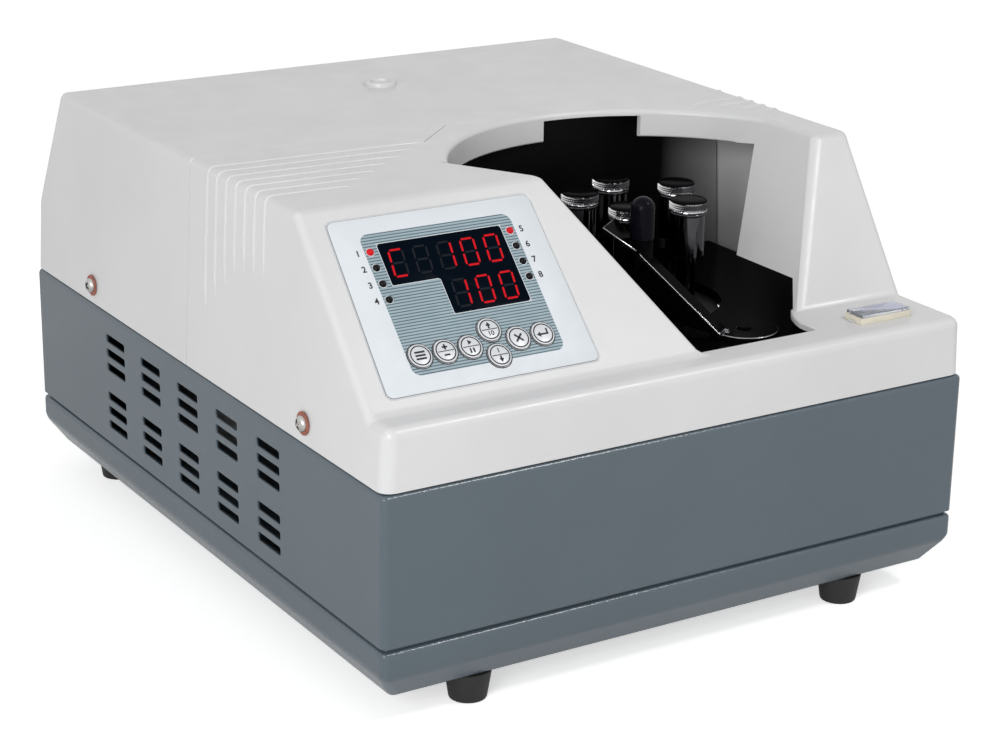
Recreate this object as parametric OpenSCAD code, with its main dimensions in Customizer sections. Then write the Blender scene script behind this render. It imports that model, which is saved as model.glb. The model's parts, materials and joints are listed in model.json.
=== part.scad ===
// Desk-top banknote counter for banded packets.
// Millimetres, Z up, standing on Z = 0, front towards -Y.

/* [Overall] */
// Width of the grey lower shell
body_w = 380; // [300:1:460]
// Depth of the grey lower shell
body_d = 454; // [370:1:550]
// Height of the feet
foot_h = 17; // [10:1:30]
// Height of the base tray
tray_h = 30.5; // [24:0.5:40]
// Height of the grey lower shell
shell_h = 83.5; // [66:0.5:110]
// Height of the white covers above the grey shell
cover_h = 121; // [100:0.5:150]

/* [Sheet thickness] */
// Wall of the grey shell and the tray
wall = 3; // [2:0.5:4]
// Wall of the white covers
skin = 3; // [2:0.5:4]
// Top skin of the white covers
top_skin = 4; // [3:0.5:5]
// Shadow gap between tray and shell
shadow_gap = 2.5; // [1:0.5:4]
// Gap between shell and covers
cover_gap = 0.8; // [0.4:0.1:1.5]

/* [Front cover] */
// Height of the front ledge above the grey shell
ledge_h = 34.8; // [28:0.2:42]
// Depth of the ledge in front of the panel
ledge_d = 19; // [12:1:30]
// Angle of the control panel
panel_angle = 45; // [38:1:55]
// Depth of the ledge in front of the pillar
pillar_d = 54.5; // [45:0.5:65]
// Radius of the arch in the top
arch_r = 119.5; // [100:0.5:125]
// Height of the lip that hangs from the arch
lip_h = 17; // [10:1:25]
// Depth of the front cover, from the front to the joint with the rear cover
front_l = 231; // [227:1:237]
// Width of the joint between the two covers
seam = 0.6; // [0.4:0.1:1.2]

/* [Control panel] */
// Width of the panel sheet
sheet_w = 124; // [110:1:130]
// Length of the panel sheet
sheet_l = 101; // [95:1:104]
// Radius of a round key
key_r = 6.6; // [5.5:0.1:7]
// Travel of a key
key_travel = 0.6; // [0.3:0.1:0.8]
// Gap around a key
key_gap = 0.4; // [0.3:0.1:0.6]

/* [Note head] */
// Gear module
gear_m = 1; // [0.9:0.05:1.1]
// Teeth of the fixed sun gear
sun_teeth = 45; // [45:5:50]
// Teeth of a spindle pinion
pinion_teeth = 22; // [20:1:24]
// Play between the teeth
backlash = 0.6; // [0.4:0.1:0.8]
// Radius of a spindle shaft
spindle_r = 5.5; // [4.5:0.1:6]
// Radius of a spindle barrel
barrel_r = 10; // [8:0.5:11]
// Radius of a knurled cap
cap_r = 11.25; // [9:0.25:12]
// Radius of the head shaft
shaft_r = 8; // [6:0.5:9]
// Running clearance of every turning fit
run = 0.05; // [0.02:0.01:0.09]

/* [Start button] */
// Width of the start button
start_w = 36; // [30:1:42]
// Depth of the start button
start_d = 15.5; // [12:0.5:18]
// Travel of the start button
start_travel = 2.5; // [1.5:0.5:4]

/* [Hidden] */
$fn = 64;
hw = body_w / 2;
hd = body_d / 2;
seam_y = -hd + front_l;
z_tray = foot_h;
z_floor = z_tray + wall;
z_tray_top = z_tray + tray_h;
z_shell = z_tray_top + shadow_gap;
z_shell_top = z_shell + shell_h;
z_cov = z_shell_top + cover_gap;
z_top = z_shell_top + cover_h;
z_ledge = z_shell_top + ledge_h;
z_lip = z_top - lip_h;
// outline of the covers
xb = hw - 0.8;
xt = xb - 6;
yf = -hd + 0.8;
yr = hd - 0.8;
edge_r = 8;
yp_b = -hd + ledge_d;
yp_t = yp_b + (z_top - z_ledge) / tan(panel_angle);
pillar_run = 0.598;
yq_b = -hd + pillar_d;
yq_t = yq_b + (z_top - z_ledge) * pillar_run;
y_front_end = seam_y - seam / 2;
y_rear_end = seam_y + seam / 2;
// note pocket and head, placed from the right wall and the front
head_x = hw - 125;
head_y = -hd + 152;
arch_x = head_x - 17;
arch_y = y_front_end - 5.2 - arch_r;
tip_y = arch_y + 55;
tip_x = arch_x - sqrt(arch_r * arch_r - 55 * 55);
pocket_l = head_x - 47;
pocket_f = -hd + 23;
diag = (pocket_l - tip_x) / (-hd + 31 - tip_y);
pillar_x = head_x + 94;
lean = 0.546;
wall_z = z_top - 72;
// levels of the mechanism
z_deck = z_shell_top + 23.5;
deck_t = 2.5;
z_plate = z_shell_top - 33.5;
plate_t = 4;
z_sun = z_plate + 34;
gear_h = 8;
z_rotor = z_sun + gear_h + 4;
rotor_t = 6;
z_cap = z_deck + 59;
cap_h = 7;
cap_edge = 1;
neck_r = 6;
neck_h = 4;
orbit = gear_m * (sun_teeth + pinion_teeth) / 2;
head_a = -61.4;
z_pulley = z_plate - 14;
pulley_h = 10;
pulley_r = 30;
motor_y = head_y + 170;
motor_pulley_r = 15;
belt_gap = 0.3;
belt_t = 1.6;
board_gap = 9;
z_hose = z_floor + 40;
hose_r = 7;
bore_r = 4;
nipple_r = 3.9;
union_r = 13;
filter_l = 48;
filter_x = head_x - union_r - 3;
pump_x = -hw + 90;
pump_y = hd - 187;
// holder
hold_x = head_x + 17;
hold_y = -hd + 66;
hold_r = 19.5;
hold_a = atan2(50, -38);
hold_l = 62.8;
hold_rise = 53;
z_hold = z_deck + 5;
post_in = 13;
post_r = 7;
post_off = 4.6;
post_z = z_hold + 48.5;
// panel frame
panel_x = -hw + 82;
panel_l = (z_top - z_ledge) / sin(panel_angle);
panel_v = panel_l / 2;
// fillet at the foot of the slope, kept off the panel sheet
foot_r = min(5, 0.4 * (panel_l - sheet_l) / tan(panel_angle / 2));
// cap that closes the hole in the top
cap_x = 1;
cap_y = hd - 110;
top_cap_r = 10;
// vents
vent_w = 27;
vent_h = 5;
vent_pitch = 51;
// screws of the covers
screw_r = 2.5;
screw_gap = 0.05;
head_r = 5;
washer_t = 1;
washer_r = 7;
screw_z = z_shell_top + 12;
screw_y = [-hd + 86, hd - 89];
start_x = hw - 45;
start_y = -hd + 25;
feet_at = [[-hw + 64, -hd + 22], [hw - 64, -hd + 22], [-hw + 32, hd - 45], [hw - 32, hd - 45]];
base_at = [[-1, -hd + 32], [1, -hd + 32], [-1, hd - 82], [1, hd - 82]];
inlet_x = -hw + 70;
switch_x = -hw + 130;
rear_z = z_shell + 38;
bay = 6;
bay_x = [-hw + 36, -hw + 152];
y_bay = hd - bay;
white = [0.87, 0.87, 0.88];
grey = [0.42, 0.47, 0.51];
dark = [0.07, 0.07, 0.08];
steel = [0.72, 0.73, 0.75];
brass = [0.75, 0.6, 0.3];

// corner arc of a polygon
function arc_at(a, b, c, r, n) =
    let (u = (a - b) / norm(a - b))
    let (v = (c - b) / norm(c - b))
    let (h = acos(u * v) / 2)
    let (m = b + (u + v) / norm(u + v) * r / sin(h))
    let (s = b + u * r / tan(h) - m)
    let (e = b + v * r / tan(h) - m)
    let (a0 = atan2(s.y, s.x))
    let (da = (atan2(e.y, e.x) - a0 + 540) % 360 - 180)
    [for (i = [0:n]) m + r * [cos(a0 + da * i / n), sin(a0 + da * i / n)]];

// polygon points with rounded corners
function soft(p, r, n = 6) =
    [for (i = [0:len(p) - 1])
        for (q = r[i] == 0 ? [p[i]]
            : arc_at(p[(i + len(p) - 1) % len(p)], p[i], p[(i + 1) % len(p)], r[i], n)) q];

// flat shape in X and Z, drawn out along Y
module along_y(y0, y1) {
    translate([0, y1, 0])
        rotate([90, 0, 0])
            linear_extrude(y1 - y0)
                children();
}

// flat shape in Y and Z, drawn out along X
module along_x(x0, x1) {
    translate([x0, 0, 0])
        rotate([90, 0, 90])
            linear_extrude(x1 - x0)
                children();
}

module block(x0, x1, y0, y1, z0, z1) {
    translate([x0, y0, z0])
        cube([x1 - x0, y1 - y0, z1 - z0]);
}

module rod(x, y, z0, z1, r) {
    translate([x, y, z0])
        cylinder(h = z1 - z0, r = r);
}

module round_box(w, l, r) {
    square([w - 2 * r, l], center = true);
    square([w, l - 2 * r], center = true);
    for (sx = [-1, 1])
        for (sy = [-1, 1])
            translate([sx * (w / 2 - r), sy * (l / 2 - r)])
                circle(r = r);
}

// place on the control panel, v measured down the slope, outward is +Z
module on_panel(x, v) {
    translate([x, yp_t - v * cos(panel_angle), z_top - v * sin(panel_angle)])
        rotate([panel_angle, 0, 0])
            children();
}

// base

module base_tray() {
    ins = 11;
    h1 = 16;
    color(grey)
        difference() {
            union() {
                intersection() {
                    along_y(-hd, hd)
                        polygon([[-hw + ins, z_tray], [hw - ins, z_tray], [hw, z_tray + h1],
                            [hw, z_tray_top], [-hw, z_tray_top], [-hw, z_tray + h1]]);
                    along_x(-hw, hw)
                        polygon([[-hd + ins, z_tray], [hd - ins, z_tray], [hd, z_tray + h1],
                            [hd, z_tray_top], [-hd, z_tray_top], [-hd, z_tray + h1]]);
                }
                block(-hw + wall + 0.3, hw - wall - 0.3, -hd + wall + 0.3, hd - wall - 0.3,
                    z_tray_top - 1, z_shell + 6);
            }
            block(-hw + 14, hw - 14, -hd + 14, hd - 14, z_floor, z_tray + h1 + 1);
            block(-hw + 2 * wall + 0.3, hw - 2 * wall - 0.3, -hd + 2 * wall + 0.3,
                hd - 2 * wall - 0.3, z_tray + h1, z_shell + 7);
            for (p = feet_at)
                rod(p.x, p.y, z_tray - 1, z_floor + 1, screw_r + 0.1);
            for (s = base_at)
                rod(s.x * (hw - 38), s.y, z_tray - 1, z_floor + 1, screw_r + 0.1);
        }
}

module feet() {
    color(dark)
        for (p = feet_at)
            difference() {
                translate([p.x, p.y, 0])
                    cylinder(h = foot_h, r1 = 10.4, r2 = 13);
                rod(p.x, p.y, -1, foot_h + 1, screw_r + 0.1);
                rod(p.x, p.y, -1, 6, 5.5);
            }
}

module foot_screws() {
    color(steel)
        for (p = feet_at) {
            rod(p.x, p.y, 2.5, 6, 4.8);
            rod(p.x, p.y, 5, z_floor + 6, screw_r);
            translate([p.x, p.y, z_floor])
                cylinder(h = 4, r = 4.6, $fn = 6);
        }
}

module base_screws() {
    color(brass)
        for (s = base_at) {
            rod(s.x * (hw - 38), s.y, z_tray - 2.4, z_tray, 4.8);
            rod(s.x * (hw - 38), s.y, z_tray - 1, z_floor + 12, screw_r);
        }
}

module vent_field() {
    for (c = [0:4])
        for (g = [0, 1])
            for (k = [0:2])
                translate([(c - 2) * vent_pitch, z_shell + shell_h * (g == 0 ? 0.258 : 0.703) + (k - 1) * 9.2])
                    round_box(vent_w, vent_h, 1.2);
}

module lower_shell() {
    color(grey)
        difference() {
            union() {
                difference() {
                    block(-hw, hw, -hd, hd, z_shell, z_shell_top);
                    block(-hw + wall, hw - wall, -hd + wall, hd - wall, z_shell - 1, z_shell_top - wall);
                    block(-hw + 15, hw - 15, -hd + 15, hd - 15, z_shell, z_shell_top + 1);
                    along_x(-hw - 1, -hw + wall + 1)
                        translate([2, 0])
                            vent_field();
                    along_x(hw - wall - 1, hw + 1)
                        translate([2, 0])
                            vent_field();
                }
                // inner ledge that rests on the tray's rim
                difference() {
                    block(-hw + 1, hw - 1, -hd + 1, hd - 1, z_shell + 6, z_shell + 9);
                    block(-hw + 11, hw - 11, -hd + 11, hd - 11, z_shell + 5, z_shell + 10);
                }
                // corner feet of the shell on the tray floor
                for (s = base_at) {
                    x1 = s.x * (hw - 38);
                    rod(x1, s.y, z_floor, z_shell + 9, 7);
                    block(min(x1, s.x * (hw - 1)), max(x1, s.x * (hw - 1)), s.y - 7, s.y + 7,
                        z_shell + 6, z_shell + 9);
                }
                // sunk bay for the mains inlet and switch
                block(bay_x[0] - wall, bay_x[1] + wall, y_bay - wall, hd - 1, rear_z - 22 - wall,
                    rear_z + 22 + wall);
                // upright tabs for the cover screws
                for (s = [-1, 1])
                    for (y = screw_y) {
                        x1 = xb - skin - 1.2;
                        block(s > 0 ? x1 - 3 : -x1, s > 0 ? x1 : -x1 + 3, y - 11, y + 11,
                            z_shell_top - 1, screw_z + 10);
                    }
            }
            for (s = base_at)
                rod(s.x * (hw - 38), s.y, z_floor - 1, z_floor + 14, screw_r + screw_gap);
            for (s = [-1, 1])
                for (y = screw_y)
                    translate([s * (hw - 12), y, screw_z])
                        rotate([0, 90, 0])
                            cylinder(h = 30, r = screw_r + screw_gap, center = true);
            block(bay_x[0], bay_x[1], y_bay, hd + 1, rear_z - 22, rear_z + 22);
            block(inlet_x - 14, inlet_x + 14, y_bay - 10, hd, rear_z - 10.5, rear_z + 10.5);
            block(switch_x - 10.5, switch_x + 10.5, y_bay - 10, hd, rear_z - 9, rear_z + 9);
        }
}

// covers

module outline(d) {
    polygon(soft([[-xb + d, z_cov - (d > 0 ? 2 : 0)], [-xt + d, z_top - (d > 0 ? top_skin : d)],
        [xt - d, z_top - (d > 0 ? top_skin : d)], [xb - d, z_cov - (d > 0 ? 2 : 0)]],
        [0, edge_r - d, edge_r - d, 0]));
}

// fine raised lines that wrap over the shoulder of the front cover
module shoulder_lines() {
    h = 0.6;
    for (i = [0:6]) {
        y = seam_y - 24 - 11.6 * i;
        low = z_top - 78 + 14 * i - 1.25 * i * i;
        intersection() {
            along_y(y - 0.6, y + 0.6)
                difference() {
                    polygon(soft([[-xb - h, z_cov], [-xt - h, z_top + h], [xt + h, z_top + h],
                        [xb + h, z_cov]], [0, edge_r + h, edge_r + h, 0]));
                    polygon(soft([[-xb + 1, z_cov - 1], [-xt + 1, z_top - 1], [xt - 1, z_top - 1],
                        [xb - 1, z_cov - 1]], [0, edge_r - 1, edge_r - 1, 0]));
                }
            union() {
                block(-hw - 5, tip_x + 3 - 13.8 * i, y - 5, y + 5, low, z_top + 5);
                if (i < 4)
                    block(pillar_x - 18 + 10 * i, hw + 5, y - 5, y + 5, low, z_top + 5);
            }
        }
    }
}

module side_left(d) {
    z1 = z_top - (d > 0 ? top_skin : 0);
    z2 = z_ledge - d;
    polygon(soft([[yf + d, z_cov - (d > 0 ? 2 : 0)], [yf + d, z2],
        [yp_b + (z2 - z_ledge) / tan(panel_angle) + d / sin(panel_angle), z2],
        [yp_t + (z1 - z_top) / tan(panel_angle) + d / sin(panel_angle), z1],
        [y_front_end + (d > 0 ? 1 : 0), z1], [y_front_end + (d > 0 ? 1 : 0), z_cov - (d > 0 ? 2 : 0)]],
        [0, d > 0 ? 4 : 7, foot_r + d, d > 0 ? 1 : 4, 0, 0]));
}

module side_right(d) {
    z1 = z_top - (d > 0 ? top_skin : 0);
    z2 = z_ledge - d;
    k = d * sqrt(1 + pillar_run * pillar_run);
    polygon(soft([[yf + d, z_cov - (d > 0 ? 2 : 0)], [yf + d, z2],
        [yq_b + (z2 - z_ledge) * pillar_run + k, z2],
        [yq_t + (z1 - z_top) * pillar_run + k, z1],
        [y_front_end + (d > 0 ? 1 : 0), z1], [y_front_end + (d > 0 ? 1 : 0), z_cov - (d > 0 ? 2 : 0)]],
        [0, d > 0 ? 4 : 7, d > 0 ? 8 : 5, d > 0 ? 1 : 4, 0, 0]));
}

// plan area left of the slanting pocket wall
module left_area(d) {
    k = d * sqrt(1 + diag * diag);
    translate([0, 0, z_cov - 5])
        linear_extrude(z_top - z_cov + 10)
            polygon([[-hw - 9, -hd - 9], [tip_x - k + diag * (-hd - 9 - tip_y), -hd - 9],
                [tip_x - k, tip_y], [tip_x - k, hd], [-hw - 9, hd]]);
}

// area right of the leaning pocket wall
module right_area(d) {
    k = d * sqrt(1 + lean * lean);
    along_y(-hd - 9, hd)
        polygon([[pillar_x + k - lean * (z_top - z_cov + 5), z_cov - 5], [hw + 9, z_cov - 5],
            [hw + 9, z_top + 5], [pillar_x + k + lean * 5, z_top + 5]]);
}

module cover_body() {
    intersection() {
        along_y(-hd - 1, hd)
            outline(0);
        union() {
            intersection() {
                along_x(-hw - 1, head_x)
                    side_left(0);
                left_area(0);
            }
            intersection() {
                along_x(head_x - 20, hw + 1)
                    side_right(0);
                right_area(0);
            }
            along_x(-hw - 1, hw + 1)
                polygon(soft([[yf, z_cov], [yf, z_ledge], [y_front_end, z_ledge], [y_front_end, z_cov]],
                    [0, 7, 0, 0]));
            difference() {
                block(tip_x - 1, hw, arch_y, y_front_end, z_ledge - 1, z_top);
                rod(arch_x, arch_y, z_ledge - 2, z_top + 1, arch_r);
                block(tip_x - 2, arch_x, arch_y - 1, tip_y, z_ledge - 2, z_top + 1);
            }
        }
    }
}

module cover_hollow() {
    intersection() {
        along_y(-hd - 1, hd)
            outline(skin);
        union() {
            intersection() {
                along_x(-hw, head_x)
                    side_left(skin);
                left_area(skin);
            }
            intersection() {
                along_x(head_x - 20, hw)
                    side_right(skin);
                right_area(skin);
            }
            along_x(-hw, hw)
                polygon(soft([[yf + skin, z_cov - 2], [yf + skin, z_ledge - skin],
                    [y_front_end + 1, z_ledge - skin], [y_front_end + 1, z_cov - 2]], [0, 4, 0, 0]));
            difference() {
                block(tip_x - 5, hw, tip_y, y_front_end + 1, z_ledge - skin - 1, z_top - top_skin);
                rod(arch_x, arch_y, z_lip, z_top, arch_r + skin);
            }
            // head chamber under the lip and behind the leaning wall
            block(tip_x, hw, tip_y, y_front_end + 1, z_ledge - skin - 1, z_lip);
            along_x(head_x + 35, hw)
                polygon([[yq_b + 14.5, z_ledge - skin - 1], [yq_b + 14.5, wall_z],
                    [head_y - 27, wall_z], [head_y + 3, z_lip], [y_front_end + 1, z_lip],
                    [y_front_end + 1, z_ledge - skin - 1]]);
        }
    }
}

module pocket_floor_hole() {
    translate([0, 0, z_ledge - skin - 1])
        linear_extrude(skin + 2)
            polygon([[tip_x + diag * (pocket_f - tip_y), pocket_f], [head_x + 34, pocket_f],
                [head_x + 34, pocket_f + 14], [head_x + 37, pocket_f + 22], [head_x + 42, pocket_f + 31],
                [head_x + 47, pocket_f + 36], [head_x + 47, y_front_end + 1], [tip_x, y_front_end + 1],
                [tip_x, tip_y]]);
}

key_at = [[-38, 31.8], [-23, 31.8], [-8, 31.8], [6.4, 24.2], [6.4, 39.4], [21.2, 31.8], [36.2, 31.8]];
lamp_v = [-31, -21.5, -12, -2.5];

module window_shape(d) {
    polygon([[-37 + d, 35 - d], [38 - d, 35 - d], [38 - d, -11.4 + d], [-8.6 + d, -11.4 + d],
        [-8.6 + d, 10.2 + d], [-37 + d, 10.2 + d]]);
}

module front_cover() {
    color(white)
        difference() {
            union() {
                difference() {
                    union() {
                        cover_body();
                        intersection() {
                            shoulder_lines();
                            block(-hw - 5, hw + 5, -hd, y_front_end, z_cov, z_top + 5);
                        }
                    }
                    cover_hollow();
                    pocket_floor_hole();
                }
                // posts for the board behind the panel
                for (sx = [-1, 1])
                    for (sy = [-1, 1])
                        on_panel(panel_x + sx * 54, panel_v)
                            translate([0, sy * 44, -10])
                                cylinder(h = 9, r = 4);
            }
            // notch in the arch lip
            block(head_x - 18, head_x + 42, arch_y + 60, y_front_end - 1, z_lip - 1, z_top - top_skin);
            // window, lamps and keys
            on_panel(panel_x, panel_v)
                translate([0, 0, -skin - 2])
                    linear_extrude(skin + 4)
                        window_shape(2);
            for (p = key_at)
                on_panel(panel_x, panel_v)
                    translate([p.x, -p.y, -skin - 2])
                        cylinder(h = skin + 4, r = 3 + run);
            for (x = [-42.2, 43])
                for (v = lamp_v)
                    on_panel(panel_x, panel_v)
                        translate([x, -v, -skin - 2])
                            cylinder(h = skin + 4, r = 2.1);
            // start button and cover screws
            block(start_x - start_w / 2 - 0.4, start_x + start_w / 2 + 0.4, start_y - start_d / 2 - 0.4,
                start_y + start_d / 2 + 0.4, z_ledge - skin - 1, z_ledge + 1);
            for (s = [-1, 1])
                translate([s * hw, screw_y[0], screw_z])
                    rotate([0, 90, 0])
                        cylinder(h = 20, r = screw_r + 0.3, center = true);
        }
}

module rear_side(d) {
    z1 = z_top - (d > 0 ? top_skin : 0);
    polygon(soft([[y_rear_end - (d > 0 ? 1 : 0), z_cov - (d > 0 ? 2 : 0)],
        [y_rear_end - (d > 0 ? 1 : 0), z1], [hd - 35 - d, z1], [hd - 1.5 - d, z_shell_top + 45.8],
        [yr - d, z_cov - (d > 0 ? 2 : 0)]], [0, 0, edge_r - d, 20, 0]));
}

module rear_cover() {
    color(white)
        difference() {
            intersection() {
                along_y(-10, hd + 1)
                    outline(0);
                along_x(-hw - 1, hw + 1)
                    rear_side(0);
            }
            intersection() {
                along_y(-10, hd + 1)
                    outline(skin);
                along_x(-hw - 1, hw + 1)
                    rear_side(skin);
            }
            rod(cap_x, cap_y, z_top - 10, z_top + 1, top_cap_r - 2);
            for (s = [-1, 1])
                translate([s * hw, screw_y[1], screw_z])
                    rotate([0, 90, 0])
                        cylinder(h = 20, r = screw_r + 0.3, center = true);
        }
}

module top_cap() {
    color(white)
        difference() {
            union() {
                rod(cap_x, cap_y, z_top, z_top + 2.6, top_cap_r);
                rod(cap_x, cap_y, z_top - top_skin - 2, z_top + 1, top_cap_r - 2.1);
            }
            rod(cap_x, cap_y, z_top + 1.2, z_top + 5, top_cap_r - 3.4);
        }
}

module cover_screws() {
    color(steel)
        for (s = [-1, 1])
            for (y = screw_y)
                translate([s * (xb - 0.15 + washer_t), y, screw_z])
                    rotate([0, 90 * s, 0]) {
                        cylinder(h = 3, r = head_r);
                        translate([0, 0, -10])
                            cylinder(h = 11, r = screw_r);
                    }
}

module fibre_washers() {
    color([0.5, 0.2, 0.14])
        for (s = [-1, 1])
            for (y = screw_y)
                translate([s * (xb - 0.15), y, screw_z])
                    rotate([0, 90 * s, 0])
                        difference() {
                            cylinder(h = washer_t, r = washer_r);
                            translate([0, 0, -1])
                                cylinder(h = washer_t + 2, r = screw_r + 0.1);
                        }
}

// control panel

module panel_overlay() {
    color([0.84, 0.87, 0.89])
        on_panel(panel_x, panel_v)
            difference() {
                linear_extrude(0.6)
                    round_box(sheet_w, sheet_l, 5);
                translate([0, 0, -1])
                    linear_extrude(3)
                        window_shape(-0.1);
                for (p = key_at)
                    translate([p.x, -p.y, -1])
                        cylinder(h = 3, r = key_r + key_gap);
                for (x = [-42.2, 43])
                    for (v = lamp_v)
                        translate([x, -v, -1])
                            cylinder(h = 3, r = 2.1);
            }
}

module display_window() {
    color([0.05, 0.07, 0.11])
        on_panel(panel_x, panel_v)
            linear_extrude(0.8)
                window_shape(0);
}

module display_module() {
    color(dark)
        on_panel(panel_x, panel_v)
            translate([0, 0, -10]) {
                translate([-34, 14, 0])
                    cube([69, 18, 9.8]);
                translate([-5, -8.4, 0])
                    cube([40, 18, 9.8]);
            }
}

module keypad_board() {
    color([0.1, 0.35, 0.2])
        on_panel(panel_x, panel_v) {
            translate([-60, -50, -11.6])
                cube([120, 100, 1.6]);
            for (p = key_at)
                translate([p.x - 3, -p.y - 3, -10.5])
                    cube([6, 6, 2.5]);
        }
}

module lamps(list) {
    for (p = list)
        on_panel(panel_x, panel_v)
            translate([p.x, -p.y, -10]) {
                cylinder(h = 9.6, r = 2);
                translate([0, 0, 9.6])
                    cylinder(h = 1.6, r1 = 2, r2 = 1.2);
            }
}

module lit_lamps() {
    color([0.9, 0.1, 0.1])
        lamps([[-42.2, lamp_v[0]], [43, lamp_v[0]]]);
}

module dark_lamps() {
    color([0.12, 0.1, 0.1])
        lamps([[-42.2, lamp_v[1]], [-42.2, lamp_v[2]], [-42.2, lamp_v[3]],
            [43, lamp_v[1]], [43, lamp_v[2]], [43, lamp_v[3]]]);
}

// round key: cap above the panel, stem through it, collar behind it
module key(i) {
    color([0.92, 0.93, 0.94])
        on_panel(panel_x, panel_v)
            translate([key_at[i].x, -key_at[i].y, 0]) {
                translate([0, 0, key_travel + 0.2])
                    cylinder(h = 1, r = key_r);
                translate([0, 0, -7.2])
                    cylinder(h = 8.4, r = 3);
                translate([0, 0, -skin - 1.6])
                    cylinder(h = 1.2, r = 4.4);
            }
}

module key_1() { key(0); }
module key_2() { key(1); }
module key_3() { key(2); }
module key_4() { key(3); }
module key_5() { key(4); }
module key_6() { key(5); }
module key_7() { key(6); }

// start button

module start_button() {
    color([0.93, 0.9, 0.8])
        block(start_x - start_w / 2, start_x + start_w / 2, start_y - start_d / 2,
            start_y + start_d / 2, z_ledge - 10, z_ledge + 3.4);
}

module start_lens() {
    color([0.75, 0.76, 0.9])
        block(start_x - start_w / 2 + 0.5, start_x + start_w / 2 - 0.5, start_y - start_d / 2 + 0.5,
            start_y + start_d / 2 - 0.5, z_ledge + 3.4, z_ledge + 5.4);
}

module start_switch() {
    color(dark)
        difference() {
            block(start_x - start_w / 2 - 3, start_x + start_w / 2 + 3, start_y - start_d / 2 - 3,
                start_y + start_d / 2 + 3, z_ledge - skin - 14, z_ledge - skin);
            block(start_x - start_w / 2 - 0.4, start_x + start_w / 2 + 0.4, start_y - start_d / 2 - 0.4,
                start_y + start_d / 2 + 0.4, z_ledge - 10 - start_travel - 0.6, z_ledge);
        }
}

// pocket

module deck_plate() {
    color(dark)
        difference() {
            union() {
                block(tip_x - 12, hw - 12.5, -hd + 60, y_front_end - 1.3, z_deck - deck_t, z_deck);
                block(pocket_l - 18, head_x + 50, -hd + 12, -hd + 61, z_deck - deck_t, z_deck);
                block(hw - 15, hw - 12.5, -hd + 60, y_front_end - 1.3, z_shell_top, z_deck - 1);
                block(pocket_l - 18, head_x + 50, -hd + 12, -hd + 14.5, z_shell_top, z_deck - 1);
            }
            rod(head_x, head_y, z_deck - 9, z_deck + 9, orbit + cap_r + 7);
            rod(hold_x, hold_y, z_deck - 9, z_deck + 9, 4 + run);
        }
}

module bulkhead() {
    color([0.25, 0.25, 0.26])
        union() {
            along_y(y_front_end - 1.3, y_front_end + 0.7)
                polygon([[-xb + 14, z_shell_top], [-xb + 4, z_shell_top], [-xt + 4, z_top - top_skin - 10],
                    [-xt + 12, z_top - top_skin - 0.6], [xt - 12, z_top - top_skin - 0.6],
                    [xt - 4, z_top - top_skin - 10], [xb - 4, z_shell_top], [xb - 14, z_shell_top],
                    [xb - 14, z_shell_top + 4], [-xb + 14, z_shell_top + 4]]);
            for (x = [-hw + 35, -hw + 165])
                for (z = [z_shell_top + 20, z_shell_top + 90])
                    translate([x, y_front_end, z])
                        rotate([-90, 0, 0])
                            cylinder(h = board_gap, r = 3);
        }
}

// frame of the sloping plate: X runs along it from the disc
module on_holder() {
    translate([hold_x - 14, hold_y - 1, 0])
        rotate([0, 0, hold_a])
            children();
}

module holder_plate() {
    z1 = z_hold + hold_rise;
    color(dark) {
        difference() {
            rod(hold_x, hold_y, z_deck + 0.4, z_deck + 3.4, hold_r);
            rod(hold_x, hold_y, z_deck, z_deck + 9, 4);
        }
        on_holder() {
            along_y(-1.2, 1.3)
                polygon([[-2, z_deck + 0.4], [hold_l, z_deck + 6], [hold_l, z1], [0, z_hold], [-2, z_hold]]);
            along_y(-1.2, 11)
                polygon([[0, z_hold - 2.5], [hold_l, z1 - 2.5], [hold_l, z1], [0, z_hold]]);
            rod(hold_l - post_in, post_off, post_z - 16.5, post_z, post_r - 0.5);
        }
    }
}

module holder_shaft() {
    color(steel) {
        rod(hold_x, hold_y, z_deck - 20, z_deck + 4.4, 4);
        rod(hold_x, hold_y, z_deck - deck_t - 6, z_deck - deck_t - 0.4, 7);
    }
}

module clamp_post() {
    h = 17.5;
    color(dark)
        on_holder()
            translate([hold_l - post_in, post_off, post_z]) {
                cylinder(h = h, r = post_r);
                translate([0, 0, h])
                    intersection() {
                        sphere(r = post_r);
                        cylinder(h = post_r + 1, r = post_r + 1);
                    }
            }
}

// turning head

function roll(r, rb) = let (t = sqrt(max(0, r * r / (rb * rb) - 1))) t * 180 / PI - atan(t);

function flank(c, side, r, hp, rb) =
    let (h = side * (hp - roll(r, rb)))
    r * [cos(c + h), sin(c + h)];

function tooth(c, z, m, n) =
    let (rp = m * z / 2)
    let (rb = rp * cos(20))
    let (ra = rp + 0.9 * m)
    let (rf = rp - 1.25 * m)
    let (r0 = max(rb, rf))
    let (hp = 90 / z - backlash / 4 / rp * 180 / PI + roll(rp, rb))
    concat(
        rb > rf ? [rf * [cos(c - hp), sin(c - hp)]] : [],
        [for (i = [0:n]) flank(c, -1, r0 + (ra - r0) * i / n, hp, rb)],
        [for (i = [n:-1:0]) flank(c, 1, r0 + (ra - r0) * i / n, hp, rb)],
        rb > rf ? [rf * [cos(c + hp), sin(c + hp)]] : []);

module gear(z, h) {
    linear_extrude(h)
        polygon([for (k = [0:z - 1]) each tooth(k * 360 / z, z, gear_m, 3)]);
}

module on_head(i) {
    f = head_a + 72 * i;
    translate([head_x + orbit * cos(f), head_y + orbit * sin(f), 0])
        children();
}

module sun_column() {
    color(steel)
        difference() {
            union() {
                rod(head_x, head_y, z_plate + plate_t, z_plate + plate_t + 4, 32);
                rod(head_x, head_y, z_plate + plate_t, z_sun + gear_h, 14);
                translate([head_x, head_y, z_sun])
                    gear(sun_teeth, gear_h);
            }
            rod(head_x, head_y, z_plate, z_sun + gear_h + 1, shaft_r + run);
        }
}

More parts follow.
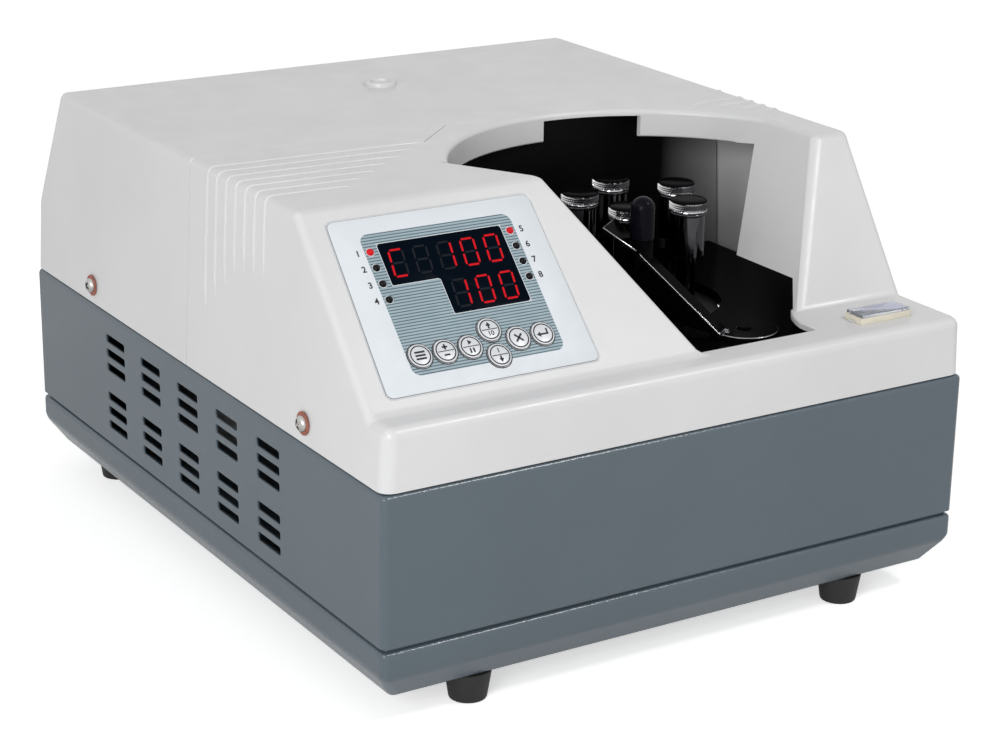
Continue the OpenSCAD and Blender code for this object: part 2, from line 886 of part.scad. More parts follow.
module rotor() {
    color([0.2, 0.2, 0.21])
        difference() {
            union() {
                rod(head_x, head_y, z_rotor, z_rotor + rotor_t, orbit + 14);
                rod(head_x, head_y, z_sun + gear_h + 0.1, z_rotor + 1, 12);
                rod(head_x, head_y, z_pulley - 8, z_rotor + rotor_t, shaft_r);
            }
            for (i = [0:4])
                on_head(i)
                    rod(0, 0, z_rotor - 1, z_rotor + rotor_t + 1, spindle_r + run);
        }
}

module spindle(i) {
    f = head_a + 72 * i;
    color(steel)
        on_head(i) {
            translate([0, 0, z_sun + 0.4])
                rotate([0, 0, f + 180 + f * sun_teeth / pinion_teeth + 180 / pinion_teeth])
                    gear(pinion_teeth, gear_h - 0.8);
            rod(0, 0, z_sun - 3, z_cap - 20, spindle_r);
            rod(0, 0, z_sun + gear_h - 1, z_rotor - 0.1, 8);
            rod(0, 0, z_rotor + rotor_t + 0.1, z_rotor + rotor_t + 5, 8);
            rod(0, 0, z_cap - 27, z_cap - 2, barrel_r);
            rod(0, 0, z_cap - 2, z_cap - 0.4, cap_r - 0.4);
            rod(0, 0, z_cap - 1, z_cap + neck_h, neck_r);
        }
}

module cap(i) {
    color(steel)
        on_head(i)
            difference() {
                union() {
                    rod(0, 0, z_cap, z_cap + cap_h - cap_edge, cap_r);
                    translate([0, 0, z_cap + cap_h - cap_edge])
                        cylinder(h = cap_edge, r1 = cap_r, r2 = cap_r - 1.2);
                }
                rod(0, 0, z_cap - 1, z_cap + neck_h + 0.2, neck_r + run);
            }
}

module spindle_1() { spindle(0); }
module spindle_2() { spindle(1); }
module spindle_3() { spindle(2); }
module spindle_4() { spindle(3); }
module spindle_5() { spindle(4); }
module cap_1() { cap(0); }
module cap_2() { cap(1); }
module cap_3() { cap(2); }
module cap_4() { cap(3); }
module cap_5() { cap(4); }

// drive

module pulley(x, y, r, bore) {
    difference() {
        union() {
            rod(x, y, z_pulley, z_pulley + pulley_h, r);
            rod(x, y, z_pulley, z_pulley + 0.8, r + 2.6);
            rod(x, y, z_pulley + pulley_h - 0.8, z_pulley + pulley_h, r + 2.6);
        }
        rod(x, y, z_pulley - 1, z_pulley + pulley_h + 1, bore);
    }
}

module rotor_pulley() {
    color([0.6, 0.62, 0.64])
        pulley(head_x, head_y, pulley_r, shaft_r + 0.01);
}

module motor_pulley() {
    color([0.6, 0.62, 0.64])
        pulley(head_x, motor_y, motor_pulley_r, 4.01);
}

// belt path: two arcs and the strip between their tangent points
module belt_area(d) {
    a = asin((pulley_r - motor_pulley_r) / (motor_y - head_y));
    r1 = pulley_r + d;
    r2 = motor_pulley_r + d;
    translate([head_x, head_y])
        circle(r = r1);
    translate([head_x, motor_y])
        circle(r = r2);
    polygon([[head_x + r1 * cos(a), head_y + r1 * sin(a)], [head_x + r2 * cos(a), motor_y + r2 * sin(a)],
        [head_x - r2 * cos(a), motor_y + r2 * sin(a)], [head_x - r1 * cos(a), head_y + r1 * sin(a)]]);
}

module drive_belt() {
    color(dark)
        translate([0, 0, z_pulley + 1.3])
            linear_extrude(pulley_h - 2.6)
                difference() {
                    belt_area(belt_gap + belt_t);
                    belt_area(belt_gap);
                }
}

module drive_motor() {
    z0 = z_plate + plate_t;
    color([0.3, 0.31, 0.33])
        difference() {
            union() {
                rod(head_x, motor_y, z0, z0 + 78, 31);
                rod(head_x, motor_y, z0 + 78, z0 + 84, 14);
                translate([head_x, motor_y, z0])
                    linear_extrude(5)
                        round_box(74, 74, 8);
            }
            rod(head_x, motor_y, z0 - 1, z0 + 24, 4 + run);
        }
}

module motor_shaft() {
    color(steel)
        rod(head_x, motor_y, z_pulley - 2, z_plate + plate_t + 22, 4);
}

plate_x0 = head_x - 60;
plate_x1 = head_x + 80;
plate_y0 = head_y - 70;
plate_y1 = motor_y + 44;

module frame_plate() {
    color(steel)
        difference() {
            block(plate_x0, plate_x1, plate_y0, plate_y1, z_plate, z_plate + plate_t);
            rod(head_x, head_y, z_plate - 1, z_plate + 9, shaft_r + 3);
            rod(head_x, motor_y, z_plate - 1, z_plate + 9, 12);
        }
}

module frame_posts() {
    color(steel)
        for (x = [plate_x0 + 9, plate_x1 - 9])
            for (y = [plate_y0 + 9, plate_y1 - 9])
                rod(x, y, z_floor, z_plate, 6);
}

// vacuum

module vacuum_union() {
    color(brass)
        difference() {
            union() {
                rod(head_x, head_y, z_floor, z_floor + 5, 24);
                rod(head_x, head_y, z_floor, z_pulley - 3, union_r);
                translate([filter_x, head_y, z_hose])
                    rotate([0, 90, 0])
                        cylinder(h = union_r, r = 8);
            }
            rod(head_x, head_y, z_pulley - 14, z_pulley, shaft_r + run);
        }
}

module inlet_filter() {
    color([0.7, 0.72, 0.74])
        translate([filter_x - 0.4, head_y, z_hose])
            rotate([0, -90, 0]) {
                cylinder(h = filter_l, r = 20);
                cylinder(h = filter_l + 14, r = nipple_r);
            }
}

// hose from the filter to the pump, bent once
module vacuum_hose() {
    bend = 22;
    x0 = pump_x + bend;
    x1 = filter_x - filter_l - 0.9;
    y0 = head_y + bend;
    y1 = pump_y - 0.5;
    color([0.15, 0.15, 0.16])
        difference() {
            union() {
                translate([x0, head_y, z_hose])
                    rotate([0, 90, 0])
                        cylinder(h = x1 - x0, r = hose_r);
                translate([x0, y0, z_hose])
                    rotate([0, 0, 180])
                        rotate_extrude(angle = 90)
                            translate([bend, 0])
                                circle(r = hose_r);
                translate([pump_x, y0, z_hose])
                    rotate([-90, 0, 0])
                        cylinder(h = y1 - y0, r = hose_r);
            }
            translate([x0, head_y, z_hose])
                rotate([0, 90, 0])
                    cylinder(h = x1 - x0 + 1, r = bore_r);
            translate([x0, y0, z_hose])
                rotate([0, 0, 180])
                    rotate_extrude(angle = 90)
                        translate([bend, 0])
                            circle(r = bore_r);
            translate([pump_x, y0, z_hose])
                rotate([-90, 0, 0])
                    cylinder(h = y1 - y0 + 1, r = bore_r);
        }
}

module vacuum_pump() {
    color([0.32, 0.36, 0.4]) {
        translate([pump_x, pump_y, z_hose])
            rotate([-90, 0, 0]) {
                translate([0, 0, -14])
                    cylinder(h = 15, r = nipple_r);
                cylinder(h = 44, r = 36);
                translate([0, 0, 43])
                    cylinder(h = 92, r = 33);
                translate([0, 0, 134])
                    cylinder(h = 12, r = 26);
            }
        block(pump_x - 30, pump_x + 30, pump_y + 12, pump_y + 32, z_floor, z_hose - 10);
        block(pump_x - 30, pump_x + 30, pump_y + 90, pump_y + 110, z_floor, z_hose - 10);
    }
}

// electrics

module main_board() {
    y0 = y_front_end + board_gap;
    color([0.1, 0.33, 0.2]) {
        block(-hw + 28, -hw + 172, y0, y0 + 1.6, z_shell_top + 14, z_shell_top + 98);
        block(-hw + 60, -hw + 84, y0 + 1, y0 + 14, z_shell_top + 30, z_shell_top + 60);
        block(-hw + 95, -hw + 135, y0 + 1, y0 + 6, z_shell_top + 40, z_shell_top + 62);
        block(-hw + 100, -hw + 160, y0 + 1, y0 + 10, z_shell_top + 78, z_shell_top + 90);
    }
}

module transformer() {
    x0 = -hw + 55;
    y0 = -hd + 45;
    color([0.35, 0.34, 0.33]) {
        block(x0, x0 + 70, y0 + 12, y0 + 46, z_floor, z_floor + 58);
        block(x0 + 12, x0 + 58, y0, y0 + 58, z_floor + 12, z_floor + 46);
    }
}

module power_inlet() {
    color(dark)
        translate([inlet_x, y_bay, rear_z])
            rotate([-90, 0, 0]) {
                difference() {
                    union() {
                        linear_extrude(2.5)
                            round_box(48, 26, 4);
                        translate([-13.8, -10.2, -26])
                            cube([27.6, 20.4, 27]);
                    }
                    translate([-12, -8.4, -16])
                        cube([24, 16.8, 20]);
                }
                for (p = [[-7, 2], [7, 2], [0, -2.5]])
                    translate([p.x - 1, p.y - 2, -18])
                        cube([2, 4, 11]);
            }
}

module power_switch() {
    color(dark)
        translate([switch_x, y_bay, rear_z])
            difference() {
                union() {
                    block(-14, 14, 0, 2, -12, 12);
                    block(-10.3, 10.3, -20, 1, -8.8, 8.8);
                }
                block(-8, 8, -14, 5, -7, 7);
                translate([0, -3, 0])
                    rotate([0, 90, 0])
                        cylinder(h = 19, r = 1.5 + run, center = true);
            }
}

module power_rocker() {
    color([0.1, 0.1, 0.1])
        translate([switch_x, y_bay - 3, rear_z])
            rotate([-8, 0, 0]) {
                block(-7.5, 7.5, -4, 7.5, -4.6, 4.6);
                rotate([0, 90, 0])
                    cylinder(h = 18.6, r = 1.5, center = true);
            }
}

base_tray();
feet();
foot_screws();
base_screws();
lower_shell();
rear_cover();
front_cover();
top_cap();
cover_screws();
fibre_washers();
panel_overlay();
display_window();
display_module();
keypad_board();
lit_lamps();
dark_lamps();
key_1();
key_2();
key_3();
key_4();
key_5();
key_6();
key_7();
start_button();
start_lens();
start_switch();
deck_plate();
bulkhead();
holder_plate();
holder_shaft();
clamp_post();
rotor();
sun_column();
spindle_1();
spindle_2();
spindle_3();
spindle_4();
spindle_5();
cap_1();
cap_2();
cap_3();
cap_4();
cap_5();
rotor_pulley();
drive_belt();
drive_motor();
motor_shaft();
motor_pulley();
frame_plate();
frame_posts();
vacuum_union();
vacuum_hose();
vacuum_pump();
inlet_filter();
main_board();
transformer();
power_inlet();
power_switch();
power_rocker();
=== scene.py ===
import bpy
import bmesh
import json
from math import radians, sin, cos, pi, sqrt, atan2
from mathutils import Matrix, Vector

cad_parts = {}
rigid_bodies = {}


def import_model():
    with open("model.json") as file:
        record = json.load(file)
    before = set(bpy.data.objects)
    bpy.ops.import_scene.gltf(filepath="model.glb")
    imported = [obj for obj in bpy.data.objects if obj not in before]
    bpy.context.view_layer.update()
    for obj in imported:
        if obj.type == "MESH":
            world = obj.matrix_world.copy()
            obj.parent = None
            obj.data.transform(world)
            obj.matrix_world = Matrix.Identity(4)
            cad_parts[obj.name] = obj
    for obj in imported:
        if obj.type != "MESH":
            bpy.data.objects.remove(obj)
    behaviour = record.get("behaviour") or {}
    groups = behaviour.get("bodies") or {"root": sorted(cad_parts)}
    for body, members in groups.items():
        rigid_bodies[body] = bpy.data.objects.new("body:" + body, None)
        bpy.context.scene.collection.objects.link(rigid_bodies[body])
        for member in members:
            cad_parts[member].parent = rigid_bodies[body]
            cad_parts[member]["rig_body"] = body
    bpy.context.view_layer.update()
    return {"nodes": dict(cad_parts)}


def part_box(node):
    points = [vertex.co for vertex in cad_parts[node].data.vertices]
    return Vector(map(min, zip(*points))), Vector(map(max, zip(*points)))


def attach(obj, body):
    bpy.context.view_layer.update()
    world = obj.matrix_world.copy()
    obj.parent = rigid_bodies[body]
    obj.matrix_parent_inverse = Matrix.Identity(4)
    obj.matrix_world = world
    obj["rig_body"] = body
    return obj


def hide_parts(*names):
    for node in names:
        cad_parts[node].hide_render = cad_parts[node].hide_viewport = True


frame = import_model()
nodes = frame["nodes"]
scene = bpy.context.scene
scene.view_settings.view_transform = "Standard"
mm = 0.001
far = 300 * mm  # beyond the object on every side
past = 1 * mm  # how far a cutter reaches beyond what it cuts
print("frame loaded:", len(nodes), "nodes")


# mesh helpers

def link(name, data):
    obj = bpy.data.objects.new(name, data)
    scene.collection.objects.link(obj)
    return obj


def toMesh(bm, name="part"):
    mesh = bpy.data.meshes.new(name)
    bm.to_mesh(mesh)
    bm.free()
    return mesh


def baked(obj, *others):
    # shape of an object with its modifiers; the objects themselves go
    bm = bmesh.new()
    bm.from_object(obj, bpy.context.evaluated_depsgraph_get())
    for used in (obj, *others):
        mesh = used.data
        bpy.data.objects.remove(used)
        bpy.data.meshes.remove(mesh)
    return bm


def piece(bm, name, body, materials, stands=(), sharp=30):
    mesh = toMesh(bm, name)
    for made in materials:
        mesh.materials.append(made)
    mesh.shade_smooth()
    mesh.set_sharp_from_angle(angle=radians(sharp))
    obj = link(name, mesh)
    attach(obj, body)
    if stands:
        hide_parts(*stands)
    return obj


def middle(node):
    low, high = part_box(node)
    return (low + high) / 2


def moved(bm, matrix):
    bmesh.ops.transform(bm, matrix=matrix, verts=bm.verts)
    return bm


def shifted(bm, x, y, z=0):
    return moved(bm, Matrix.Translation((x, y, z)))


def inMm(points):
    return [(a * mm, b * mm) for a, b in points]


def rectangle(x0, x1, y0, y1):
    return [(x0, y0), (x1, y0), (x1, y1), (x0, y1)]


def oblong(width, length):
    return rectangle(-width / 2, width / 2, -length / 2, length / 2)


def prism(axis, points, low, high):
    # outline square to the axis, drawn out along it
    bm = bmesh.new()
    at = "XYZ".index(axis)
    face = bm.faces.new([bm.verts.new((*p[:at], low, *p[at:])) for p in points])
    grown = bmesh.ops.extrude_face_region(bm, geom=[face])["geom"]
    step = [high - low if axis == a else 0 for a in "XYZ"]
    bmesh.ops.translate(bm, verts=[v for v in grown if isinstance(v, bmesh.types.BMVert)], vec=step)
    bmesh.ops.recalc_face_normals(bm, faces=bm.faces)
    return bm


def block(x0, x1, y0, y1, z0, z1):
    return prism("Z", rectangle(x0, x1, y0, y1), z0, z1)


def drum(x, y, z0, z1, radius, segments=96):
    bm = bmesh.new()
    bmesh.ops.create_cone(bm, cap_ends=True, segments=segments, radius1=radius, radius2=radius, depth=z1 - z0)
    return shifted(bm, x, y, (z0 + z1) / 2)


def lathe(profile, segments=48, bands=False):
    # spins (radius, height) points about Z; bands numbers the faces along the profile
    bm = bmesh.new()
    verts = [bm.verts.new((r, 0, z)) for r, z in profile]
    edges = [bm.edges.new(pair) for pair in zip(verts, verts[1:])]
    bmesh.ops.spin(bm, geom=verts + edges, axis=(0, 0, 1), cent=(0, 0, 0), angle=2 * pi, steps=segments,
                   use_merge=True)
    bmesh.ops.remove_doubles(bm, verts=bm.verts, dist=0.002 * mm)
    bmesh.ops.recalc_face_normals(bm, faces=bm.faces)
    if bands:
        points = [Vector(p) for p in profile]
        for face in bm.faces:
            spots = [Vector((v.co.xy.length, v.co.z)) for v in face.verts]
            face.material_index = min(range(len(points) - 1), key=lambda i: sum(
                min((s - points[i]).length, (s - points[i + 1]).length) for s in spots))
    return bm


def ring(inner, outer, low, high, segments):
    return lathe([(inner, low), (outer, low), (outer, high), (inner, high), (inner, low)], segments)


def combine(first, second, how):
    kept, tool = [link("part", toMesh(bm)) for bm in (first, second)]
    boolean = kept.modifiers.new("combine", "BOOLEAN")
    boolean.operation = how
    boolean.solver = "EXACT"
    boolean.object = tool
    return baked(kept, tool)


def cut(bulk, *cutters):
    for cutter in cutters:
        bulk = combine(bulk, cutter, "DIFFERENCE")
    return bulk


def addTo(bm, part):
    mesh = toMesh(part)
    bm.from_mesh(mesh)
    bpy.data.meshes.remove(mesh)


def gather(parts):
    # several meshes in one
    bm = bmesh.new()
    for part in parts:
        addTo(bm, part)
    return bm


def flatten(bm):
    bmesh.ops.remove_doubles(bm, verts=bm.verts, dist=0.005 * mm)
    bmesh.ops.dissolve_limit(bm, angle_limit=radians(0.3), verts=bm.verts, edges=bm.edges)
    return bm


def splitAt(bm, spot, normal):
    bmesh.ops.bisect_plane(bm, geom=bm.verts[:] + bm.edges[:] + bm.faces[:], plane_co=spot, plane_no=normal)


def bevelled(bm, edges, width, segments):
    return bmesh.ops.bevel(bm, geom=edges, offset=width, segments=segments, profile=0.5, affect="EDGES",
                           material=-1)["faces"]


def roundPrism(points, radius, low, high, segments=6):
    # upright prism with its upright corners rounded
    bm = prism("Z", points, low, high)
    upright = [e for e in bm.edges if abs(e.verts[0].co.z - e.verts[1].co.z) > 0.5 * (high - low)]
    bevelled(bm, upright, radius, segments)
    return bm


def breakRim(bm, width, segments):
    # rounds the edges round the top, and gives the new faces
    top = max(v.co.z for v in bm.verts) - 0.01 * mm
    rim = [e for e in bm.edges if all(v.co.z > top for v in e.verts)]
    return bevelled(bm, rim, width, segments)


def weigh(bm, radii, kindOf):
    # bevel weights from the kinds of the two faces that meet, 1 for the widest
    widest = max(radii.values())
    layer = bm.edges.layers.float.new("bevel_weight_edge")
    for edge in bm.edges:
        if len(edge.link_faces) == 2 and edge.calc_face_angle() > radians(12):
            pair = tuple(sorted(kindOf(face) for face in edge.link_faces))
            edge[layer] = radii.get(pair, 0) / widest
    return bm


def softEdges(obj, width, segments, weighted=True):
    bevel = obj.modifiers.new("softEdges", "BEVEL")
    bevel.width = width
    bevel.segments = segments
    bevel.limit_method = "WEIGHT" if weighted else "ANGLE"
    bevel.use_clamp_overlap = not weighted
    bevel.loop_slide = False


def rounded(bm, radii, kindOf):
    # edges rounded by the kinds of the faces that meet, as plain geometry
    obj = link("part", toMesh(weigh(bm, radii, kindOf)))
    softEdges(obj, max(radii.values()) * mm, 4)
    return baked(obj)


def evenShading(obj):
    normals = obj.modifiers.new("evenShading", "WEIGHTED_NORMAL")
    normals.keep_sharp = True
    return obj


def soften(obj, width, segments=4, weighted=True):
    softEdges(obj, width, segments, weighted)
    return evenShading(obj)


# materials

noiseSpan = (0.3, 0.7)  # most of a noise lies between these


def shader(made):
    return made.node_tree.nodes["Principled BSDF"]


def material(name, colour, roughness=0.5, metallic=0.0, shine=0.5, **sockets):
    made = bpy.data.materials.new(name)
    made.use_nodes = True
    inputs = shader(made).inputs
    inputs["Base Color"].default_value = (*colour, 1)
    inputs["Roughness"].default_value = roughness
    inputs["Metallic"].default_value = metallic
    inputs["Specular IOR Level"].default_value = shine
    for socket, value in sockets.items():
        inputs[socket].default_value = value
    return made


def noiseOn(made, scale, detail):
    tree = made.node_tree
    coords = tree.nodes.new("ShaderNodeTexCoord")
    noise = tree.nodes.new("ShaderNodeTexNoise")
    noise.inputs["Scale"].default_value = scale
    noise.inputs["Detail"].default_value = detail
    tree.links.new(coords.outputs["Object"], noise.inputs["Vector"])
    return noise.outputs["Fac"]


def tint(made, source, colourA, colourB, span=noiseSpan):
    tree = made.node_tree
    ramp = tree.nodes.new("ShaderNodeValToRGB")
    for stop, place, colour in zip(ramp.color_ramp.elements, span, (colourA, colourB)):
        stop.position = place
        stop.color = (*colour, 1)
    tree.links.new(source, ramp.inputs["Fac"])
    tree.links.new(ramp.outputs["Color"], shader(made).inputs["Base Color"])


def spreadOver(tree, source, span, low, high):
    spread = tree.nodes.new("ShaderNodeMapRange")
    for socket, value in zip(("From Min", "From Max", "To Min", "To Max"), (*span, low, high)):
        spread.inputs[socket].default_value = value
    tree.links.new(source, spread.inputs["Value"])
    return spread.outputs["Result"]


def varyRoughness(made, source, low, high):
    tree = made.node_tree
    tree.links.new(spreadOver(tree, source, noiseSpan, low, high), shader(made).inputs["Roughness"])


def bump(made, *reliefs):
    # one bump after another, each with its own height in metres
    tree = made.node_tree
    last = None
    for source, height in reliefs:
        node = tree.nodes.new("ShaderNodeBump")
        node.inputs["Strength"].default_value = 1
        node.inputs["Distance"].default_value = height
        tree.links.new(source, node.inputs["Height"])
        if last:
            tree.links.new(last.outputs["Normal"], node.inputs["Normal"])
        last = node
    tree.links.new(last.outputs["Normal"], shader(made).inputs["Normal"])


def mouldedWhite():
    made = material("mouldedWhite", (0.72, 0.72, 0.725), 0.42)
    tint(made, noiseOn(made, 9, 4), (0.69, 0.69, 0.695), (0.74, 0.74, 0.745))
    varyRoughness(made, noiseOn(made, 60, 2), 0.28, 0.4)
    bump(made, (noiseOn(made, 26, 1), 0.35 * mm), (noiseOn(made, 620, 2), 0.035 * mm))
    return made


def hammeredGrey():
    made = material("hammeredGrey", (0.095, 0.124, 0.147), 0.22)
    tint(made, noiseOn(made, 14, 4), (0.092, 0.12, 0.143), (0.098, 0.128, 0.152))
    varyRoughness(made, noiseOn(made, 700, 2), 0.17, 0.26)
    bump(made, (noiseOn(made, 520, 1), 0.12 * mm))
    return made


def paintedShadeChamber():
    # painted shade and light: the chamber wall is near black towards its left, a painted shadow, and turns grey
    # towards its right end, painted light
    made = material("chamberPaintedShade", (0.02, 0.02, 0.02), 0.4, shine=0.1)
    tree = made.node_tree
    coords = tree.nodes.new("ShaderNodeTexCoord")
    split = tree.nodes.new("ShaderNodeSeparateXYZ")
    tree.links.new(coords.outputs["Object"], split.inputs["Vector"])
    fade = spreadOver(tree, split.outputs["X"], (137 * mm, 181 * mm), 0, 1)
    # painted shadow at the low end of X, painted light at the high end
    tint(made, fade, (0.003, 0.003, 0.003), (0.34, 0.34, 0.34), (0, 1))
    varyRoughness(made, noiseOn(made, 400, 2), 0.32, 0.48)
    bump(made, (noiseOn(made, 800, 2), 0.02 * mm))
    return made


def plain(name, colour, roughness=0.5, metallic=0.0, grain=300, spread=0.12, relief=0.02, **sockets):
    made = material(name, colour, roughness, metallic, **sockets)
    dark = [c * (1 - spread) for c in colour]
    light = [min(1, c * (1 + spread)) for c in colour]
    tint(made, noiseOn(made, grain * 0.2, 3), dark, light)
    varyRoughness(made, noiseOn(made, grain, 2), roughness * 0.8, min(1, roughness * 1.2))
    bump(made, (noiseOn(made, grain * 2, 2), relief * mm))
    return made


def glowing(name, colour, roughness, strength, **sockets):
    light = {"Emission Color": (1, 0.012, 0.024, 1), "Emission Strength": strength}
    return plain(name, colour, roughness, grain=500, relief=0.004, **light, **sockets)


white = mouldedWhite()
grey = hammeredGrey()
chamberShadeAndLight = paintedShadeChamber()
blackGloss = plain("blackGloss", (0.0025, 0.0025, 0.003), 0.14, grain=120, relief=0.008, shine=0.008)
rubber = plain("footRubber", (0.012, 0.012, 0.012), 0.6, grain=900)
steel = plain("screwSteel", (0.5, 0.49, 0.47), 0.2, 1.0, grain=700)
# painted highlight: lighter metal for rounded edges, standing for bright edge lines
paintedEdgeHighlight = plain("paintedEdgeHighlight", (0.26, 0.26, 0.27), 0.25, 1.0, grain=700)
chrome = plain("chromePlate", (0.75, 0.75, 0.77), 0.07, 1.0, grain=400, spread=0.04, relief=0.004)
# painted shade and painted reflection: chrome with a near black colour, for the knurl flanks turned from the light
# and for the spindles' reflection of the dark pocket
paintedShadeChrome = plain("paintedShadeChrome", (0.07, 0.07, 0.075), 0.08, 1.0, grain=400, spread=0.05, relief=0.004)
knurlSteel = plain("knurlSteel", (0.72, 0.72, 0.73), 0.07, 1.0, grain=700, spread=0.05, relief=0.004)
fibre = plain("redFibre", (0.32, 0.11, 0.075), 0.7, grain=1500, spread=0.25)
brass = plain("brass", (0.62, 0.45, 0.2), 0.3, 1.0, grain=700)
darkSteel = plain("rotorSteel", (0.1, 0.1, 0.105), 0.35, 1.0, grain=500)
castGrey = plain("castMetal", (0.3, 0.31, 0.33), 0.45, 1.0, grain=600)
boardGreen = plain("boardLaminate", (0.02, 0.1, 0.045), 0.45, grain=800)
blackPlastic = plain("blackPlastic", (0.014, 0.014, 0.015), 0.38, grain=1200)
softRubber = plain("postRubber", (0.003, 0.003, 0.006), 0.25, grain=500, relief=0.01, shine=0.06)
sheetPrint = plain("sheetPrint", (0.74, 0.78, 0.82), 0.5, grain=150, spread=0.02, relief=0.006)
fieldPale = plain("fieldPale", (0.33, 0.43, 0.475), 0.5, grain=150, spread=0.04, relief=0.006)
fieldDark = plain("fieldDark", (0.075, 0.12, 0.15), 0.5, grain=150, spread=0.04, relief=0.006)
inkDark = plain("inkDark", (0.014, 0.015, 0.017), 0.4, grain=300, relief=0.004, shine=0.2)
# painted shadow: dark grey for the sheet's rounded rim, a shadow line all round the sheet
sheetShadowLine = plain("sheetShadowLine", (0.2, 0.21, 0.22), 0.5, grain=300)
darkGlass = plain("darkGlass", (0.0014, 0.004, 0.0085), 0.25, grain=80, spread=0.1, relief=0.003, shine=0.008)
dullSegment = plain("dullSegment", (0.014, 0.016, 0.022), 0.3, grain=300, relief=0.004, shine=0.02)
redGlow = glowing("redGlow", (0.5, 0.006, 0.012), 0.5, 0.16, spread=0.05, shine=0.05)
redLamp = glowing("redLamp", (0.55, 0.006, 0.012), 0.3, 0.1, shine=0.15)
darkLamp = plain("darkLamp", (0.002, 0.002, 0.0025), 0.16, grain=500, relief=0.004, shine=0.15)
keyFace = plain("keyFace", (0.68, 0.7, 0.73), 0.3, grain=300, spread=0.02, relief=0.005)
cream = plain("creamPlastic", (0.75, 0.7, 0.58), 0.4, grain=600, spread=0.04)
lavender = plain("lavenderCard", (0.36, 0.37, 0.6), 0.4, grain=300, spread=0.05)
clearLens = plain("clearLens", (0.86, 0.88, 0.93), 0.08, grain=200, spread=0.03, relief=0.004,
                  **{"Transmission Weight": 0.92, "IOR": 1.49})
print("materials made")


# covers

cover = {
    "bottom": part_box("rear_cover")[0].z, "top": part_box("rear_cover")[1].z, "ledge": 168.3 * mm,
    "front": -226.2 * mm, "seam": 4 * mm, "seamGap": 0.12 * mm, "seamGroove": 0.75 * mm,
    "sideLow": 189.2 * mm, "sideHigh": 183.2 * mm, "skin": 3 * mm, "topSkin": 4 * mm,
    "slopeFoot": -208 * mm, "slopeHead": -121.8 * mm, "pillarFoot": -172.5 * mm, "pillarHead": -121 * mm,
    "pillarTopX": 159 * mm, "lean": 0.546, "leanSpan": (100 * mm, 280 * mm),
    "archX": 48 * mm, "archY": -121 * mm, "archRadius": 119.5 * mm, "lip": 17 * mm, "tipY": -72 * mm,
    "pocketFrontX": 17 * mm, "pocketFront": -204 * mm, "rearTop": 192 * mm, "rearKink": 225.5 * mm,
    "kinkZ": 179.3 * mm, "rearBottom": 226.2 * mm}
cover["tipX"] = cover["archX"] - sqrt(cover["archRadius"] ** 2 - (cover["tipY"] - cover["archY"]) ** 2)
cover["diagonal"] = (cover["pocketFrontX"] - cover["tipX"]) / (cover["pocketFront"] - cover["tipY"])
cover["slant"] = (cover["sideLow"] - cover["sideHigh"]) / (cover["top"] - cover["bottom"])


def sideX(z):
    return cover["sideHigh"] + cover["slant"] * (cover["top"] - z)


def extent(d):
    # underside, top and seam end of the cover, or of its hollow
    low, top, end = cover["bottom"], cover["top"], cover["seam"] - cover["seamGap"] / 2
    return (low - 2 * past, top - cover["topSkin"], end + past) if d else (low, top, end)


def outline(d):
    low, top, end = extent(d)
    a, b = cover["sideLow"] - d, cover["sideHigh"] - d
    return prism("Y", [(-a, low), (a, low), (b, top), (-b, top)], -far, far)


def sideProfile(d, foot, head):
    # front face, ledge, slope and top, drawn in by d
    low, top, end = extent(d)
    front, ledge = cover["front"] + d, cover["ledge"] - d
    run = (head - foot) / (cover["top"] - cover["ledge"])
    back = d * sqrt(1 + run * run)
    return [(front, low), (front, ledge), (foot + run * (ledge - cover["ledge"]) + back, ledge),
            (head + run * (top - cover["top"]) + back, top), (end, top), (end, low)]


def leftSide(d):
    turn, y0 = cover["diagonal"], cover["tipY"]
    x0 = cover["tipX"] - d * sqrt(1 + turn ** 2)
    plan = [(-far, -far), (x0 + turn * (-far - y0), -far), (x0, y0), (x0, far), (-far, far)]
    body = prism("X", sideProfile(d, cover["slopeFoot"], cover["slopeHead"]), -far, far)
    return combine(body, prism("Z", plan, 0, 2 * far), "INTERSECT")


def rightSide(d):
    lean, (low, high) = cover["lean"], cover["leanSpan"]
    x0 = cover["pillarTopX"] + d * sqrt(1 + lean ** 2)
    foot, head = x0 + lean * (low - cover["top"]), x0 + lean * (high - cover["top"])
    body = prism("X", sideProfile(d, cover["pillarFoot"], cover["pillarHead"]), 0, far)
    return combine(body, prism("Y", [(foot, low), (far, low), (far, high), (head, high)], -far, far), "INTERSECT")


def ledgeSlab(d):
    low, top, end = extent(d)
    return block(-far, far, cover["front"] + d, end, low, cover["ledge"] - d)


def archBridge(d):
    low, top, end = extent(d)
    floor = cover["ledge"] - d - past
    x, y, tipX, tipY = (cover[k] for k in ("archX", "archY", "tipX", "tipY"))
    cutters = [drum(x, y, floor - past, top + past, cover["archRadius"] + d, 88)]
    if not d:
        cutters.append(block(tipX - 2 * past, x, y - past, tipY, floor - past, top + past))
    return cut(block(tipX - past, far, tipY if d else y, end, floor, top), *cutters)


def coverBulk(d):
    bulk = leftSide(d)
    for part in (rightSide(d), ledgeSlab(d), archBridge(d)):
        bulk = combine(bulk, part, "UNION")
    return flatten(combine(bulk, outline(d), "INTERSECT"))


